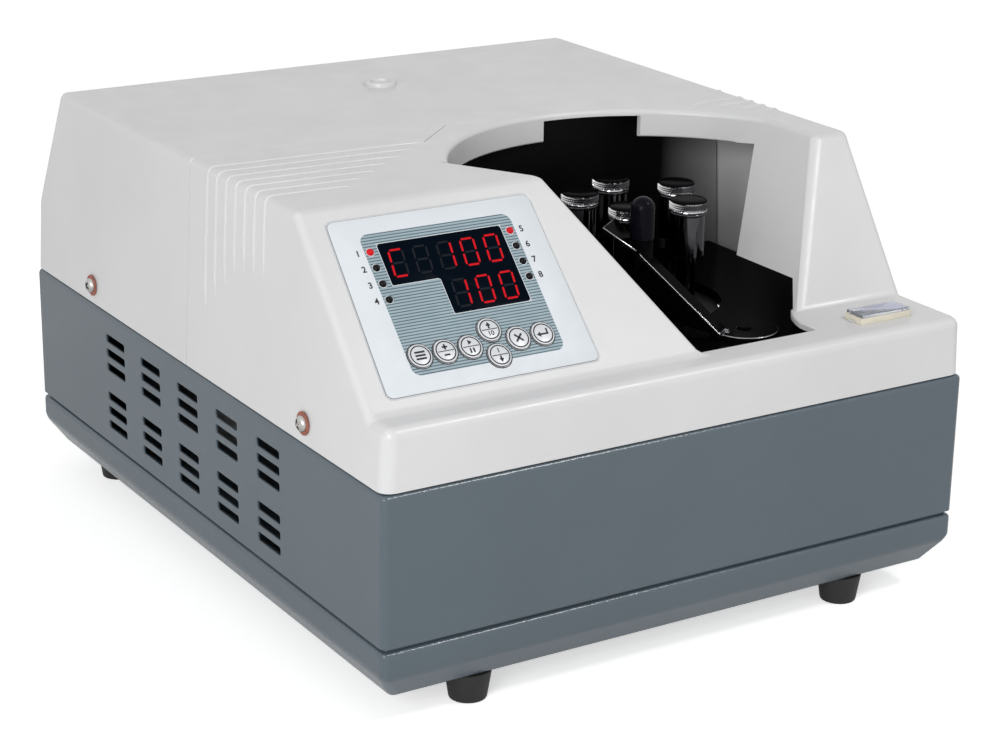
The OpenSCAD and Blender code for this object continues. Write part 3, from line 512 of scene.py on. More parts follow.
def coverKind(face):
    n, c = face.normal, face.calc_center_median()
    if abs(n.x) > 0.98:
        return "side" if abs(c.x) > sideX(c.z) - 0.5 * mm else "inner"
    if n.z > 0.99:
        return "top" if c.z > cover["top"] - 1 * mm else "ledge" if c.z > cover["ledge"] - 1 * mm else "inner"
    if n.z < -0.99:
        low = c.z < cover["bottom"] + 0.5 * mm
        return "under" if low else "lip" if abs(c.z - cover["top"] + cover["lip"]) < 0.1 * mm else "inner"
    if abs(c.y - cover["seam"]) < 0.5 * mm and abs(n.y) > 0.99:
        return "end"
    onArch = abs((c.xy - Vector((cover["archX"], cover["archY"]))).length - cover["archRadius"]) < 1 * mm
    if n.y < -0.99:
        return "front" if c.y < cover["front"] + 0.5 * mm else "wall" if onArch else "inner"
    if abs(n.x) < 0.01 and n.z > -0.01:
        return "rear" if n.y > 0 else "pillar" if c.x > 0 else "slope"
    if n.z > 0.3:
        return "lean"
    toArch = n.x * (cover["archX"] - c.x) + n.y * (cover["archY"] - c.y)
    return "wall" if toArch > 0 and c.x > cover["tipX"] - 1 * mm and abs(n.z) < 0.1 else "inner"


# rounding between two kinds of face, in mm
coverEdges = {
    ("side", "top"): 4, ("slope", "top"): 3.5, ("pillar", "top"): 4, ("front", "ledge"): 6, ("side", "slope"): 4.5,
    ("pillar", "side"): 5, ("ledge", "side"): 6, ("front", "side"): 7.5, ("ledge", "slope"): 3.5,
    ("ledge", "pillar"): 3.2, ("lean", "pillar"): 5, ("lean", "top"): 3, ("slope", "wall"): 3, ("top", "wall"): 3,
    ("ledge", "wall"): 1.2, ("lip", "wall"): 1.2, ("end", "top"): 0.2, ("end", "side"): 0.2, ("under", "wall"): 1,
    ("rear", "top"): 4, ("rear", "side"): 4, ("rear", "rear"): 4}
print("front cover:", len(coverEdges), "kinds of edge")


panel = {
    "sheet": [(-64.7, -52.2), (64, -52.2), (62.8, 51.5), (-60.9, 51.5)], "corner": 4.2 * mm, "thick": 0.6 * mm,
    "seat": -0.7 * mm, "seatGap": 0.3 * mm, "face": -0.15 * mm, "flare": 0.7 * mm, "glass": 0.05 * mm,
    "tilt": pi / 4, "keyRadius": 6.6 * mm, "keyGap": 0.4 * mm, "stemHole": 3.05 * mm, "lampHole": 2.1 * mm,
    "printT": 0.03 * mm, "lift": 0.01 * mm, "lampX": (-42.2, 43), "lampY": (31, 21.5, 12, 2.5),
    "window": [(-37, 35), (-37, 10.2), (-8.6, 10.2), (-8.6, -11.4), (38, -11.4), (38, 35)],
    "keys": [(-38, -31.8), (-23, -31.8), (-8, -31.8), (6.4, -24.2), (6.4, -39.4), (21.2, -31.8), (36.2, -31.8)],
    "field": (-45.4, 46.2, -42.3, 41.5), "fieldCorner": 5 * mm, "stripe": 1.73 * mm, "stripeDark": 0.65 * mm}
panelNormal = Vector((0, -sin(panel["tilt"]), cos(panel["tilt"])))
panelFoot = middle("panel_overlay") - panelNormal * panel["thick"] / 2
panelPlace = Matrix.Translation(panelFoot) @ Matrix.Rotation(panel["tilt"], 4, "X")


def sheetShape(grow):
    # outline of the sheet, made larger all round by grow
    return [(x * mm + (grow if x > 0 else -grow), y * mm + (grow if y > 0 else -grow)) for x, y in panel["sheet"]]


def seatCutter():
    # recess of the sheet, its wall flaring out at the top
    gap, flare = panel["seatGap"], panel["flare"]
    cutter, cone = [roundPrism(sheetShape(gap), panel["corner"] + gap, low, 2 * flare)
                    for low in (panel["seat"], -flare)]
    centre = sum((v.co for v in cone.verts), Vector()) / len(cone.verts)
    for v in cone.verts:
        if v.co.z > 0:
            v.co.x += 3 * flare * (1 if v.co.x > centre.x else -1)
            v.co.y += 3 * flare * (1 if v.co.y > centre.y else -1)
    return combine(cutter, cone, "UNION")


def windowShape(grow):
    # outline of the stepped window, made larger all round by grow
    signs = [(-1, 1), (-1, -1), (-1, -1), (-1, -1), (1, -1), (1, 1)]
    return [(x * mm + sx * grow, y * mm + sy * grow) for (x, y), (sx, sy) in zip(panel["window"], signs)]


def panelCutters(windowGrow, keyHole, lampHole, low=-past):
    high = 2 * past
    cutters = [prism("Z", windowShape(windowGrow), low, high)]
    cutters += [drum(x * mm, y * mm, low, high, keyHole, 48) for x, y in panel["keys"]]
    cutters += [drum(x * mm, y * mm, low, high, lampHole, 32) for x in panel["lampX"] for y in panel["lampY"]]
    return gather(cutters)


def startCutter():
    low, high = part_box("start_button")
    gap, depth = 0.4 * mm, 6 * mm
    return block(low.x - gap, high.x + gap, low.y - gap, high.y + gap, cover["ledge"] - depth,
                 cover["ledge"] + 3 * past)


coverScrew = {
    "radius": 4.6 * mm, "height": 3 * mm, "shank": 2.5 * mm, "length": 10 * mm, "holeGap": 0.3 * mm,
    "x": 190.05 * mm, "y": (-141 * mm, 138 * mm), "z": 145.5 * mm, "turns": (0.4, 1.1, 0.2, 0.75),
    "washer": [(2.6, -1), (6.25, -1), (6.5, -0.8), (6.5, -0.25), (6.2, 0), (2.6, 0), (2.6, -1)]}


def screwCutter(i):
    hole = drum(0, 0, -far, far, coverScrew["shank"] + coverScrew["holeGap"], 32)
    return shifted(moved(hole, Matrix.Rotation(pi / 2, 4, "Y")), 0, coverScrew["y"][i], coverScrew["z"])


lines = {
    "count": 7, "first": -19.5 * mm, "pitch": 11.6 * mm, "height": 0.8 * mm, "width": 1.5 * mm, "drop": 83 * mm,
    "climb": 14 * mm, "ease": 1.25 * mm, "skew": 0.045, "sunk": 0.5 * mm, "fade": 5 * mm, "least": 0.1,
    "end": -50 * mm, "endStep": 14 * mm, "rightCount": 4, "rightStart": 141 * mm, "rightStep": 10 * mm,
    "creaseEnd": -18 * mm, "creaseWidth": 0.7 * mm, "creaseDepth": 0.7 * mm}


def creaseCutter():
    # groove from the end of the first line to the seam
    x0, x1, y1 = lines["end"], lines["creaseEnd"], cover["seam"]
    y0 = lines["first"] - lines["skew"] * (cover["sideHigh"] + x0)
    half = lines["creaseWidth"] / 2
    groove = [(x0 - half, y0 + half), (x0 + half, y0 - half), (x1 + half, y1), (x1 - half, y1)]
    return prism("Z", groove, cover["top"] - lines["creaseDepth"], cover["top"] + past)


def seamCutter(side):
    # shallow groove that marks the seam on the side
    low, high, y = cover["bottom"] - past, cover["top"] - 3 * mm, cover["seam"]
    foot, head = side * (cover["sideLow"] - 1 * mm), side * (cover["sideHigh"] - 0.8 * mm)
    points = [(side * far, low), (foot, low), (head, high), (side * far, high)]
    return prism("Y", points, y - cover["seamGroove"], y + past)


chamber = {
    "left": 100 * mm, "right": 186 * mm, "foot": -170 * mm, "sill": (-155.5 * mm, -102 * mm), "sillZ": 182.5 * mm,
    "bend": -73.5 * mm, "bendRise": 2.5 * mm, "roof": -57 * mm, "notch": (47 * mm, 107 * mm, -61 * mm, 2.7 * mm),
    "pocketInto": 0.3 * mm, "pocketRise": 0.5 * mm,
    "pocketRight": [(99, -190), (101, -183), (104.5, -175), (110.4, -166.6), (125, -166.6)]}


def chamberCutters():
    # head chamber under the lip and behind the leaning wall, hole of the pocket, notch in the lip
    lipZ, end = cover["top"] - cover["lip"], cover["seam"] + past
    floor = cover["ledge"] - cover["skin"] - past
    front, rear = chamber["sill"]
    behind = [(chamber["foot"], floor), (front, chamber["sillZ"]), (rear, chamber["sillZ"]),
              (chamber["bend"], lipZ + chamber["bendRise"]), (chamber["roof"], lipZ), (end, lipZ), (end, floor)]
    room = block(cover["tipX"], chamber["right"], cover["tipY"], end, floor, lipZ)
    room = combine(room, prism("X", behind, chamber["left"], chamber["right"]), "UNION")
    room = combine(room, outline(cover["skin"]), "INTERSECT")
    x0, x1 = (cover[k] - chamber["pocketInto"] for k in ("pocketFrontX", "tipX"))
    right = inMm(chamber["pocketRight"])
    plan = [(x0, cover["pocketFront"]), (right[0][0], cover["pocketFront"]), *right, (right[-1][0], end),
            (x1, end), (x1, cover["tipY"])]
    hole = prism("Z", plan, floor, cover["ledge"] + chamber["pocketRise"])
    notch = block(*chamber["notch"], lipZ - past, cover["top"] - cover["topSkin"])
    return room, hole, notch


def frontCover():
    bulk = cut(coverBulk(0), coverBulk(cover["skin"]), *chamberCutters())
    bulk = rounded(flatten(bulk), coverEdges, coverKind)
    holes = panelCutters(-2 * mm, panel["stemHole"], panel["lampHole"], -6 * mm)
    bulk = cut(bulk, moved(seatCutter(), panelPlace), moved(holes, panelPlace), startCutter(), screwCutter(0),
               creaseCutter(), seamCutter(-1), seamCutter(1))
    evenShading(piece(bulk, "frontCover", "housing", [white], ["front_cover"]))


plug = {
    "hole": 8 * mm, "depth": 10 * mm,
    "profile": [(0, 0.7), (5.9, 0.7), (6.4, 0.9), (6.7, 2.3), (7.2, 2.6), (9.1, 2.6), (9.7, 2.2), (10, 1.2),
                (10, 0), (7.9, 0), (7.9, -6), (0, -6)]}


def rearBulk(d):
    low, top, end = extent(d)
    begin = cover["seam"] + cover["seamGap"] / 2 - (past if d else 0)
    profile = [(begin, low), (cover["rearBottom"] - d, low), (cover["rearKink"] - d, cover["kinkZ"]),
               (cover["rearTop"] - d, top), (begin, top)]
    return combine(prism("X", profile, -far, far), outline(d), "INTERSECT")


def rearCover():
    bulk = rounded(flatten(cut(rearBulk(0), rearBulk(cover["skin"]))), coverEdges, coverKind)
    spot, top = middle("top_cap"), cover["top"]
    plugHole = drum(spot.x, spot.y, top - plug["depth"], top + past, plug["hole"])
    bulk = cut(bulk, plugHole, screwCutter(1))
    evenShading(piece(bulk, "rearCover", "housing", [white], ["rear_cover"]))


frontCover()
rearCover()
print("covers made")


# moulded lines, plug and screws

def mouldedLine(y, inner, low, side):
    # a bead swept over the top, round the shoulder and down the side
    turn = coverEdges["side", "top"] * mm
    corner, shoulder = cover["sideHigh"] - turn, cover["top"] - turn
    path = [(inner + (side * corner - inner) * k / 10, cover["top"], 0, 1) for k in range(10)]
    path += [(side * (corner + turn * sin(t)), shoulder + turn * cos(t), side * sin(t), cos(t))
             for t in (pi / 16 * k for k in range(9))]
    path += [(side * sideX(z), z, side, 0) for z in (shoulder + (low - shoulder) * k / 10 for k in range(1, 11))]
    run = [0.0]
    for a, b in zip(path, path[1:]):
        run.append(run[-1] + sqrt((b[0] - a[0]) ** 2 + (b[1] - a[1]) ** 2))
    bm = bmesh.new()
    loops = []
    for (x, z, nx, nz), gone in zip(path, run):
        growing, fading = gone / lines["fade"], (run[-1] - gone) / (3 * lines["fade"])
        rise = lines["height"] * min(1, growing + lines["least"], fading + lines["least"])
        ahead = y - lines["skew"] * max(0, corner - abs(x))
        half = [(0.5, -lines["sunk"]), (0.5, 0), (0.3, 0.75 * rise)]
        section = [(-w, h) for w, h in half] + [(0, rise)] + half[::-1]
        verts = [bm.verts.new((x + nx * h, ahead + lines["width"] * w, z + nz * h)) for w, h in section]
        loops.append([bm.edges.new(pair) for pair in zip(verts, verts[1:] + verts[:1])])
    for a, b in zip(loops, loops[1:]):
        bmesh.ops.bridge_loops(bm, edges=a + b)
    bmesh.ops.edgeloop_fill(bm, edges=loops[0] + loops[-1])
    bmesh.ops.recalc_face_normals(bm, faces=bm.faces)
    return bm


def mouldedLines():
    beads = []
    for i in range(lines["count"]):
        y = lines["first"] - lines["pitch"] * i
        low = cover["top"] - lines["drop"] + lines["climb"] * i - lines["ease"] * i * i
        beads.append(mouldedLine(y, lines["end"] - lines["endStep"] * i, low, -1))
        if i < lines["rightCount"]:
            beads.append(mouldedLine(y, lines["rightStart"] + lines["rightStep"] * i, low, 1))
    piece(gather(beads), "shoulderLines", "housing", [white])


def topPlug():
    spot = middle("top_cap")
    bm = shifted(lathe(inMm(plug["profile"]), 64), spot.x, spot.y, cover["top"])
    piece(bm, "topCap", "housing", [white], ["top_cap"])


screwDome = [(0, 1), (0.3, 0.98), (0.62, 0.84), (0.86, 0.55), (0.98, 0.22), (1, 0)]
baseScrew = {"radius": 4.8 * mm, "height": 2.4 * mm, "shank": 2.5 * mm, "length": 15 * mm}


def panScrew(size, turn):
    # pan head with a cross recess, standing on Z = 0
    radius, height, shank, length = (size[k] for k in ("radius", "height", "shank", "length"))
    profile = [(r * radius, z * height) for r, z in screwDome] + [(shank, 0), (shank, -length), (0, -length)]
    bm = lathe(profile, 40)
    reach, half = 0.6 * radius, 0.15 * radius
    for quarter in (0, pi / 2):
        arm = block(-reach, reach, -half, half, 0.35 * height, 1.5 * height)
        bm = cut(bm, moved(arm, Matrix.Rotation(turn + quarter, 4, "Z")))
    return bm


def coverScrews():
    heads, washers = [], []
    spots = [(side, y) for side in (-1, 1) for y in coverScrew["y"]]
    for (side, y), turn in zip(spots, coverScrew["turns"]):
        place = Matrix.Translation((side * coverScrew["x"], y, coverScrew["z"]))
        place = place @ Matrix.Rotation(side * pi / 2, 4, "Y")
        heads.append(moved(panScrew(coverScrew, turn), place))
        washers.append(moved(lathe(inMm(coverScrew["washer"]), 40), place))
    piece(gather(heads), "coverScrews", "housing", [steel], ["cover_screws"], sharp=40)
    piece(gather(washers), "fibreWashers", "housing", [fibre], ["fibre_washers"])


def baseScrews():
    low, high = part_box("base_screws")
    edge = baseScrew["radius"]
    heads = []
    for x in (low.x + edge, high.x - edge):
        for y in (low.y + edge, high.y - edge):
            head = moved(panScrew(baseScrew, x * 9), Matrix.Rotation(pi, 4, "X"))
            heads.append(shifted(head, x, y, low.z + baseScrew["height"]))
    piece(gather(heads), "baseScrews", "housing", [brass], ["base_screws"], sharp=40)


mouldedLines()
topPlug()
coverScrews()
baseScrews()
print("lines, plug and screws made")


# grey shell, tray and feet

halfW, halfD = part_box("base_tray")[1].x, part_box("base_tray")[1].y
shell = {
    "bottom": 50 * mm, "top": 133.5 * mm, "wall": 3 * mm, "rim": 15 * mm, "ventWidth": 27 * mm,
    "ventHeight": 5 * mm, "ventCorner": 1.4 * mm, "ventPitch": 51 * mm, "ventShift": 2 * mm, "ventRow": 9.2 * mm,
    "ventLevels": (71.5 * mm, 108.7 * mm), "ventWall": 1.2 * mm, "thinnedY": 3 * mm, "thinnedZ": 1.5 * mm,
    "bay": (-154 * mm, -38 * mm, 66 * mm, 110 * mm), "bayDepth": 6 * mm, "socketDepth": 9 * mm,
    "sockets": {"power_inlet": (14 * mm, 10.5 * mm), "power_switch": (10.5 * mm, 9 * mm)}}
shellEdges = {("front", "side"): 4, ("side", "top"): 3, ("front", "top"): 3, ("side", "slot"): 0.5}


def slab(inset, low, high):
    # block over the whole plan, drawn in all round
    x, y = halfW - inset, halfD - inset
    return block(-x, x, -y, y, low, high)


def shellKind(face):
    n, c = face.normal, face.calc_center_median()
    if n.z > 0.99 and c.z > shell["top"] - 0.1 * mm:
        return "top"
    if n.z < -0.99 and c.z < shell["bottom"] + 0.1 * mm:
        return "under"
    if abs(c.x) > halfW - 0.1 * mm:
        return "side"
    if abs(c.y) > halfD - 0.1 * mm:
        return "front"
    return "slot" if abs(c.x) > halfW - shell["wall"] * 0.9 else "inner"


def ventGroups():
    # middles of the groups of slots, as depth and height
    return [(column * shell["ventPitch"] + shell["ventShift"], level) for column in range(-2, 3)
            for level in shell["ventLevels"]]


def ventCutters():
    w, h, reach = shell["ventWidth"] / 2, shell["ventHeight"] / 2, halfW + 5 * past
    slots = []
    for y, level in ventGroups():
        for z in (level + row * shell["ventRow"] for row in (-1, 0, 1)):
            slot = block(-reach, reach, y - w, y + w, z - h, z + h)
            along = [e for e in slot.edges if abs(e.verts[0].co.x - e.verts[1].co.x) > reach]
            bevelled(slot, along, shell["ventCorner"], 4)
            slots.append(slot)
    return gather(slots)


def ventThinning():
    # the wall is thinner behind each group of slots
    w = shell["ventWidth"] / 2 + shell["thinnedY"]
    h = shell["ventRow"] + shell["ventHeight"] / 2 + shell["thinnedZ"]
    outer, inner = halfW - shell["ventWall"], halfW - 5 * past
    return gather([block(low, high, y - w, y + w, z - h, z + h) for y, z in ventGroups()
                   for low, high in ((-outer, -inner), (inner, outer))])


def lowerShell():
    w, bottom, top = shell["wall"], shell["bottom"], shell["top"]
    cavity, opening = slab(w, bottom - past, top - w), slab(shell["rim"], bottom, top + past)
    bulk = cut(slab(0, bottom, top), cavity, opening)
    x0, x1, z0, z1 = shell["bay"]
    bay = halfD - shell["bayDepth"]
    bulk = combine(bulk, block(x0 - w, x1 + w, bay - w, halfD - past, z0 - w, z1 + w), "UNION")
    cutters = [block(x0, x1, bay, halfD + past, z0, z1)]
    for node, (a, b) in shell["sockets"].items():
        x, z = middle(node).xz
        cutters.append(block(x - a, x + a, bay - shell["socketDepth"], halfD, z - b, z + b))
    bulk = flatten(cut(bulk, *cutters, ventThinning(), ventCutters()))
    bulk = rounded(bulk, shellEdges, shellKind)
    evenShading(piece(bulk, "lowerShell", "housing", [grey], ["lower_shell"]))


tray = {
    "bottom": 17 * mm, "fold": 33 * mm, "top": 47.5 * mm, "inset": 11 * mm, "rim": 56 * mm, "rimInset": 3.3 * mm,
    "floor": 20 * mm, "hollowInset": 14 * mm, "wellInset": 6.3 * mm}
trayEdges = {
    ("front", "side"): 4, ("side", "top"): 2.6, ("front", "top"): 2.6, ("chamferX", "side"): 2.5,
    ("chamferY", "front"): 2.5, ("chamferX", "chamferY"): 4, ("chamferX", "under"): 2, ("chamferY", "under"): 2}


def trayKind(face):
    n, c = face.normal, face.calc_center_median()
    if n.z > 0.99:
        return "top" if tray["fold"] < c.z < tray["top"] + 1 * mm else "inner"
    if n.z < -0.99:
        return "under"
    if abs(n.z) > 0.1:
        return "chamferX" if abs(n.x) > abs(n.y) else "chamferY"
    if abs(c.x) > halfW - 0.1 * mm:
        return "side"
    return "front" if abs(c.y) > halfD - 0.1 * mm else "inner"


def baseTray():
    bulk = slab(0, tray["bottom"], tray["top"])
    splitAt(bulk, (0, 0, tray["fold"]), (0, 0, 1))
    for v in bulk.verts:
        if v.co.z < tray["bottom"] + 0.1 * mm:
            v.co.x -= tray["inset"] * (1 if v.co.x > 0 else -1)
            v.co.y -= tray["inset"] * (1 if v.co.y > 0 else -1)
    bulk = combine(bulk, slab(tray["rimInset"], tray["top"] - past, tray["rim"]), "UNION")
    hollow = slab(tray["hollowInset"], tray["floor"], tray["fold"] + past)
    well = slab(tray["wellInset"], tray["fold"], tray["rim"] + past)
    bulk = weigh(flatten(cut(bulk, hollow, well)), trayEdges, trayKind)
    obj = piece(bulk, "baseTray", "housing", [grey], ["base_tray"])
    soften(obj, max(trayEdges.values()) * mm)


rubberFoot = {
    "half": 13 * mm, "frontX": 126 * mm,
    "profile": [(5.5, 6), (5.5, 0.5), (6, 0), (9.4, 0), (10.2, 0.3), (10.5, 1), (12.8, 15.8), (12.9, 16.6),
                (12.4, 17), (2.6, 17), (2.6, 6), (5.5, 6)]}


def feet():
    low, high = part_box("feet")
    half, x = rubberFoot["half"], rubberFoot["frontX"]
    front, back = low.y + half, high.y - half
    spots = ((-x, front), (x, front), (low.x + half, back), (high.x - half, back))
    made = [shifted(lathe(inMm(rubberFoot["profile"]), 56), *spot) for spot in spots]
    piece(gather(made), "rubberFeet", "housing", [rubber], ["feet"])


lowerShell()
baseTray()
feet()
print("shell, tray and feet made")


# control panel

def panelPiece(bm, name, materials, stands=(), body="housing", sharp=30):
    return piece(moved(bm, panelPlace), name, body, materials, stands, sharp)


def panelSheet():
    sheet = roundPrism(sheetShape(0), panel["corner"], panel["seat"], panel["face"], 10)
    # the sheet's rim gets the painted shadow line
    for face in breakRim(sheet, 0.3 * mm, 2):
        face.material_index = 1
    holes = panelCutters(0.1 * mm, panel["keyRadius"] + panel["keyGap"], panel["lampHole"])
    panelPiece(cut(sheet, holes), "panelSheet", [sheetPrint, sheetShadowLine], ["panel_overlay"])


def stripedField():
    # printed field, cut into dark and pale stripes
    x0, x1, y0, y1 = (v * mm for v in panel["field"])
    blank = 1 * mm
    field = roundPrism(rectangle(x0, x1, y0, y1), panel["fieldCorner"], 0, blank, 10)
    field = cut(field, panelCutters(0.45 * mm, 7.4 * mm, 2.5 * mm))
    bmesh.ops.scale(field, vec=(1, 1, panel["printT"] / blank), verts=field.verts)
    shifted(field, 0, 0, panel["face"] + panel["lift"])
    count = int((y1 - y0) / panel["stripe"]) + 1
    for y in (y1 - k * panel["stripe"] - part for k in range(count) for part in (0, panel["stripeDark"])):
        splitAt(field, (0, y, 0), (0, 1, 0))
    for face in field.faces:
        face.material_index = int((y1 - face.calc_center_bounds().y) % panel["stripe"] < panel["stripeDark"])
    panelPiece(field, "stripedField", [fieldPale, fieldDark])


def keyRings():
    low = panel["face"] + panel["lift"]
    inner, outer, high = panel["keyRadius"] + panel["keyGap"], panel["keyRadius"] + 0.85 * mm, low + 0.06 * mm
    rings = [shifted(ring(inner, outer, low, high, 64), x * mm, y * mm) for x, y in panel["keys"]]
    panelPiece(gather(rings), "keyRings", [inkDark])


def displayWindow():
    pane = roundPrism(windowShape(0), 1.8 * mm, panel["seat"], panel["glass"], 5)
    breakRim(pane, 0.3 * mm, 3)
    panelPiece(pane, "displayWindow", [darkGlass], ["display_window"])


digit = {
    "height": 15.6 * mm, "width": 8 * mm, "stroke": 1.2 * mm, "gap": 0.55 * mm, "slant": 0.1, "thick": 0.03 * mm,
    "pitch": 14.4 * mm, "rows": ((-28.8 * mm, 22.4 * mm, "C 100"), (0, -0.4 * mm, "100"))}
# place across and up in half digits, and whether the bar stands upright
strokes = {"a": (0, 1, 0), "b": (1, 0.5, 1), "c": (1, -0.5, 1), "d": (0, -1, 0), "e": (-1, -0.5, 1),
           "f": (-1, 0.5, 1), "g": (0, 0, 0)}
lit = {"0": "abcdef", "1": "bc", "C": "adef", " ": ""}


def segment(name):
    # one bar with pointed ends, in a digit centred on the origin
    across, up, upright = strokes[name]
    w, h, half = digit["width"], digit["height"], digit["stroke"] / 2
    reach = (h / 4 if upright else w / 2) - digit["gap"]
    flat, low = reach - half, panel["glass"] + panel["lift"]
    points = [(-reach, 0), (-flat, -half), (flat, -half), (reach, 0), (flat, half), (-flat, half)]
    bar = prism("Z", points, low, low + digit["thick"])
    if upright:
        moved(bar, Matrix.Rotation(pi / 2, 4, "Z"))
    lean = Matrix.Identity(4)
    lean[0][1] = digit["slant"]
    return moved(shifted(bar, across * w / 2, up * h / 2), lean)


def displayDigits():
    bright, dull = [], []
    for x, y, shown in digit["rows"]:
        for k, character in enumerate(shown):
            for name in strokes:
                bar = shifted(segment(name), x + k * digit["pitch"], y)
                (bright if name in lit[character] else dull).append(bar)
    panelPiece(gather(bright), "litSegments", [redGlow])
    panelPiece(gather(dull), "darkSegments", [dullSegment])


lampProfile = [(0, 1.7), (0.9, 1.5), (1.6, 1), (1.95, 0.3), (2, -0.1), (2, -10), (0, -10)]


def panelLamps():
    bright, dull = [], []
    for x in panel["lampX"]:
        for k, y in enumerate(panel["lampY"]):
            (dull if k else bright).append(shifted(lathe(inMm(lampProfile), 32), x * mm, y * mm))
    panelPiece(gather(bright), "litLamps", [redLamp], ["lit_lamps"])
    panelPiece(gather(dull), "darkLamps", [darkLamp], ["dark_lamps"])


# printed signs: plain numbers, dashes and arrows, in mm

def printed(points, x, y, turn):
    flat = prism("Z", inMm(points), 0, panel["printT"])
    return shifted(moved(flat, Matrix.Rotation(turn, 4, "Z")), x * mm, y * mm)


def dash(x, y, width, height, turn=0.0):
    return printed(oblong(width, height), x, y, turn)


def arrow(x, y, size, turn=0.0):
    return printed([(-size, 0), (size, 0), (0, 1.5 * size)], x, y, turn)


def number(text, x, y, size):
    curve = bpy.data.curves.new("number", "FONT")
    curve.body = text
    curve.size = size * mm
    curve.align_x = "CENTER"
    curve.align_y = "CENTER"
    curve.extrude = panel["printT"] / 2
    curve.offset = 0.025 * size * mm
    obj = link("number", curve)
    mesh = bpy.data.meshes.new_from_object(obj.evaluated_get(bpy.context.evaluated_depsgraph_get()))
    bm = bmesh.new()
    bm.from_mesh(mesh)
    bmesh.ops.remove_doubles(bm, verts=bm.verts, dist=0.0005 * mm)
    bpy.data.objects.remove(obj)
    bpy.data.curves.remove(curve)
    bpy.data.meshes.remove(mesh)
    return shifted(bm, x * mm, y * mm, panel["printT"] / 2)


def lampNumbers():
    signs = []
    for first, side, x in zip((1, 5), (-1, 1), panel["lampX"]):
        for k, y in enumerate(panel["lampY"]):
            signs.append(number(str(first + k), x + side * 7.2, y, 5))
    flat = shifted(gather(signs), 0, 0, panel["face"] + panel["lift"])
    panelPiece(flat, "lampNumbers", [inkDark])


def keySigns():
    def split():
        return dash(0, 0, 9.4, 0.5)
    return [
        [dash(0, 1.9, 6, 1.1), dash(0, 0, 6, 1.1), dash(0, -1.9, 6, 1.1)],
        [split(), dash(0, 2.3, 3.2, 1), dash(0, 2.3, 1, 3.2), dash(0, -2.3, 3.4, 1)],
        [split(), arrow(-1, 2.4, 1.5, -pi / 2), dash(-1, -2.4, 1, 2.8), dash(1, -2.4, 1, 2.8)],
        [split(), dash(0, 1.4, 1, 1.8), arrow(0, 2.1, 1.5), number("10", 0, -2.4, 3.8)],
        [split(), number("1", 0, 2.5, 3.8), dash(0, -1.4, 1, 1.8), arrow(0, -2.1, 1.5, pi)],
        [dash(0, 0, 6, 1.1, pi / 4), dash(0, 0, 6, 1.1, -pi / 4)],
        [dash(0.4, -0.4, 4.8, 1), dash(2.5, 0.9, 1, 3.4), arrow(-1.7, -0.4, 1.6, pi / 2)]]


keyCap = {
    "signZ": 1.06 * mm, "darkBands": (2, 3, 4, 7, 8),
    "profile": [(0, 1.05), (4.9, 1.05), (5.1, 1.01), (5.35, 0.87), (5.6, 0.87), (5.8, 1.01), (6.3, 0.99),
                (6.6, 0.75), (6.6, 0.1), (6.5, 0), (3, 0), (3, -3.4), (4.4, -3.4), (4.4, -4.6), (3, -4.6),
                (3, -7.2), (0, -7.2)]}


def keys():
    for i, ((x, y), signs) in enumerate(zip(panel["keys"], keySigns()), 1):
        cap = lathe(inMm(keyCap["profile"]), 56, True)
        for face in cap.faces:
            face.material_index = int(face.material_index in keyCap["darkBands"])
        ink = shifted(gather(signs), 0, 0, keyCap["signZ"])
        for face in ink.faces:
            face.material_index = 1
        panelPiece(shifted(gather([cap, ink]), x * mm, y * mm), "key%d" % i, [keyFace, inkDark],
                   ["key_%d" % i], "key_unit_%d" % i, 40)


panelSheet()
stripedField()
keyRings()
displayWindow()
displayDigits()
panelLamps()
lampNumbers()
keys()
print("control panel made")


# start button

start = {
    "corner": 1 * mm, "rim": 0.5 * mm, "cardInset": 3 * mm, "cardZ": (0.02 * mm, 0.25 * mm), "lensInset": 1 * mm,
    "lensCorner": 1.2 * mm, "lensZ": 0.3 * mm, "lensRim": 0.7 * mm, "clipW": 5 * mm, "clipL": 1.6 * mm,
    "clipGap": 0.45 * mm, "clipCorner": 0.5 * mm, "clipZ": (-1 * mm, 1.1 * mm)}


def startButton():
    low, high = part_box("start_button")
    w, l, top = high.x - low.x, high.y - low.y, high.z
    x, y = middle("start_button").xy
    body = roundPrism(oblong(w, l), start["corner"], low.z, top, 4)
    breakRim(body, start["rim"], 3)
    piece(shifted(body, x, y), "startButton", "start", [cream], ["start_button"])
    inset, (z0, z1) = start["cardInset"], start["cardZ"]
    card = roundPrism(oblong(w - inset, l - inset), start["corner"], top + z0, top + z1, 4)
    piece(shifted(card, x, y), "startCard", "start", [lavender])
    inset, lensTop = start["lensInset"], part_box("start_lens")[1].z
    lens = roundPrism(oblong(w - inset, l - inset), start["lensCorner"], top + start["lensZ"], lensTop, 4)
    breakRim(lens, start["lensRim"], 4)
    piece(shifted(lens, x, y), "startLens", "start", [clearLens], ["start_lens"])
    clips = []
    for side in (-1, 1):
        z0, z1 = (cover["ledge"] + z for z in start["clipZ"])
        clip = roundPrism(oblong(start["clipL"], start["clipW"]), start["clipCorner"], z0, z1)
        clips.append(shifted(clip, x + side * (w / 2 + start["clipGap"] + start["clipL"] / 2), y))
    soften(piece(gather(clips), "startClips", "housing", [chrome]), 0.3 * mm, 2, False)


startButton()
print("start button made")


# note pocket and head

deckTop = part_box("deck_plate")[1].z
holder = {
    "spread": 10 * mm, "longer": 5 * mm, "along": Vector((-38, 50, 0)).normalized(), "length": 62.8 * mm,
    "rise": 53 * mm, "longEdge": 8 * mm, "footEdge": 5 * mm, "foot": Vector((-14 * mm, -1 * mm, 0)),
    "postClear": 6.8 * mm, "flange": 10 * mm}


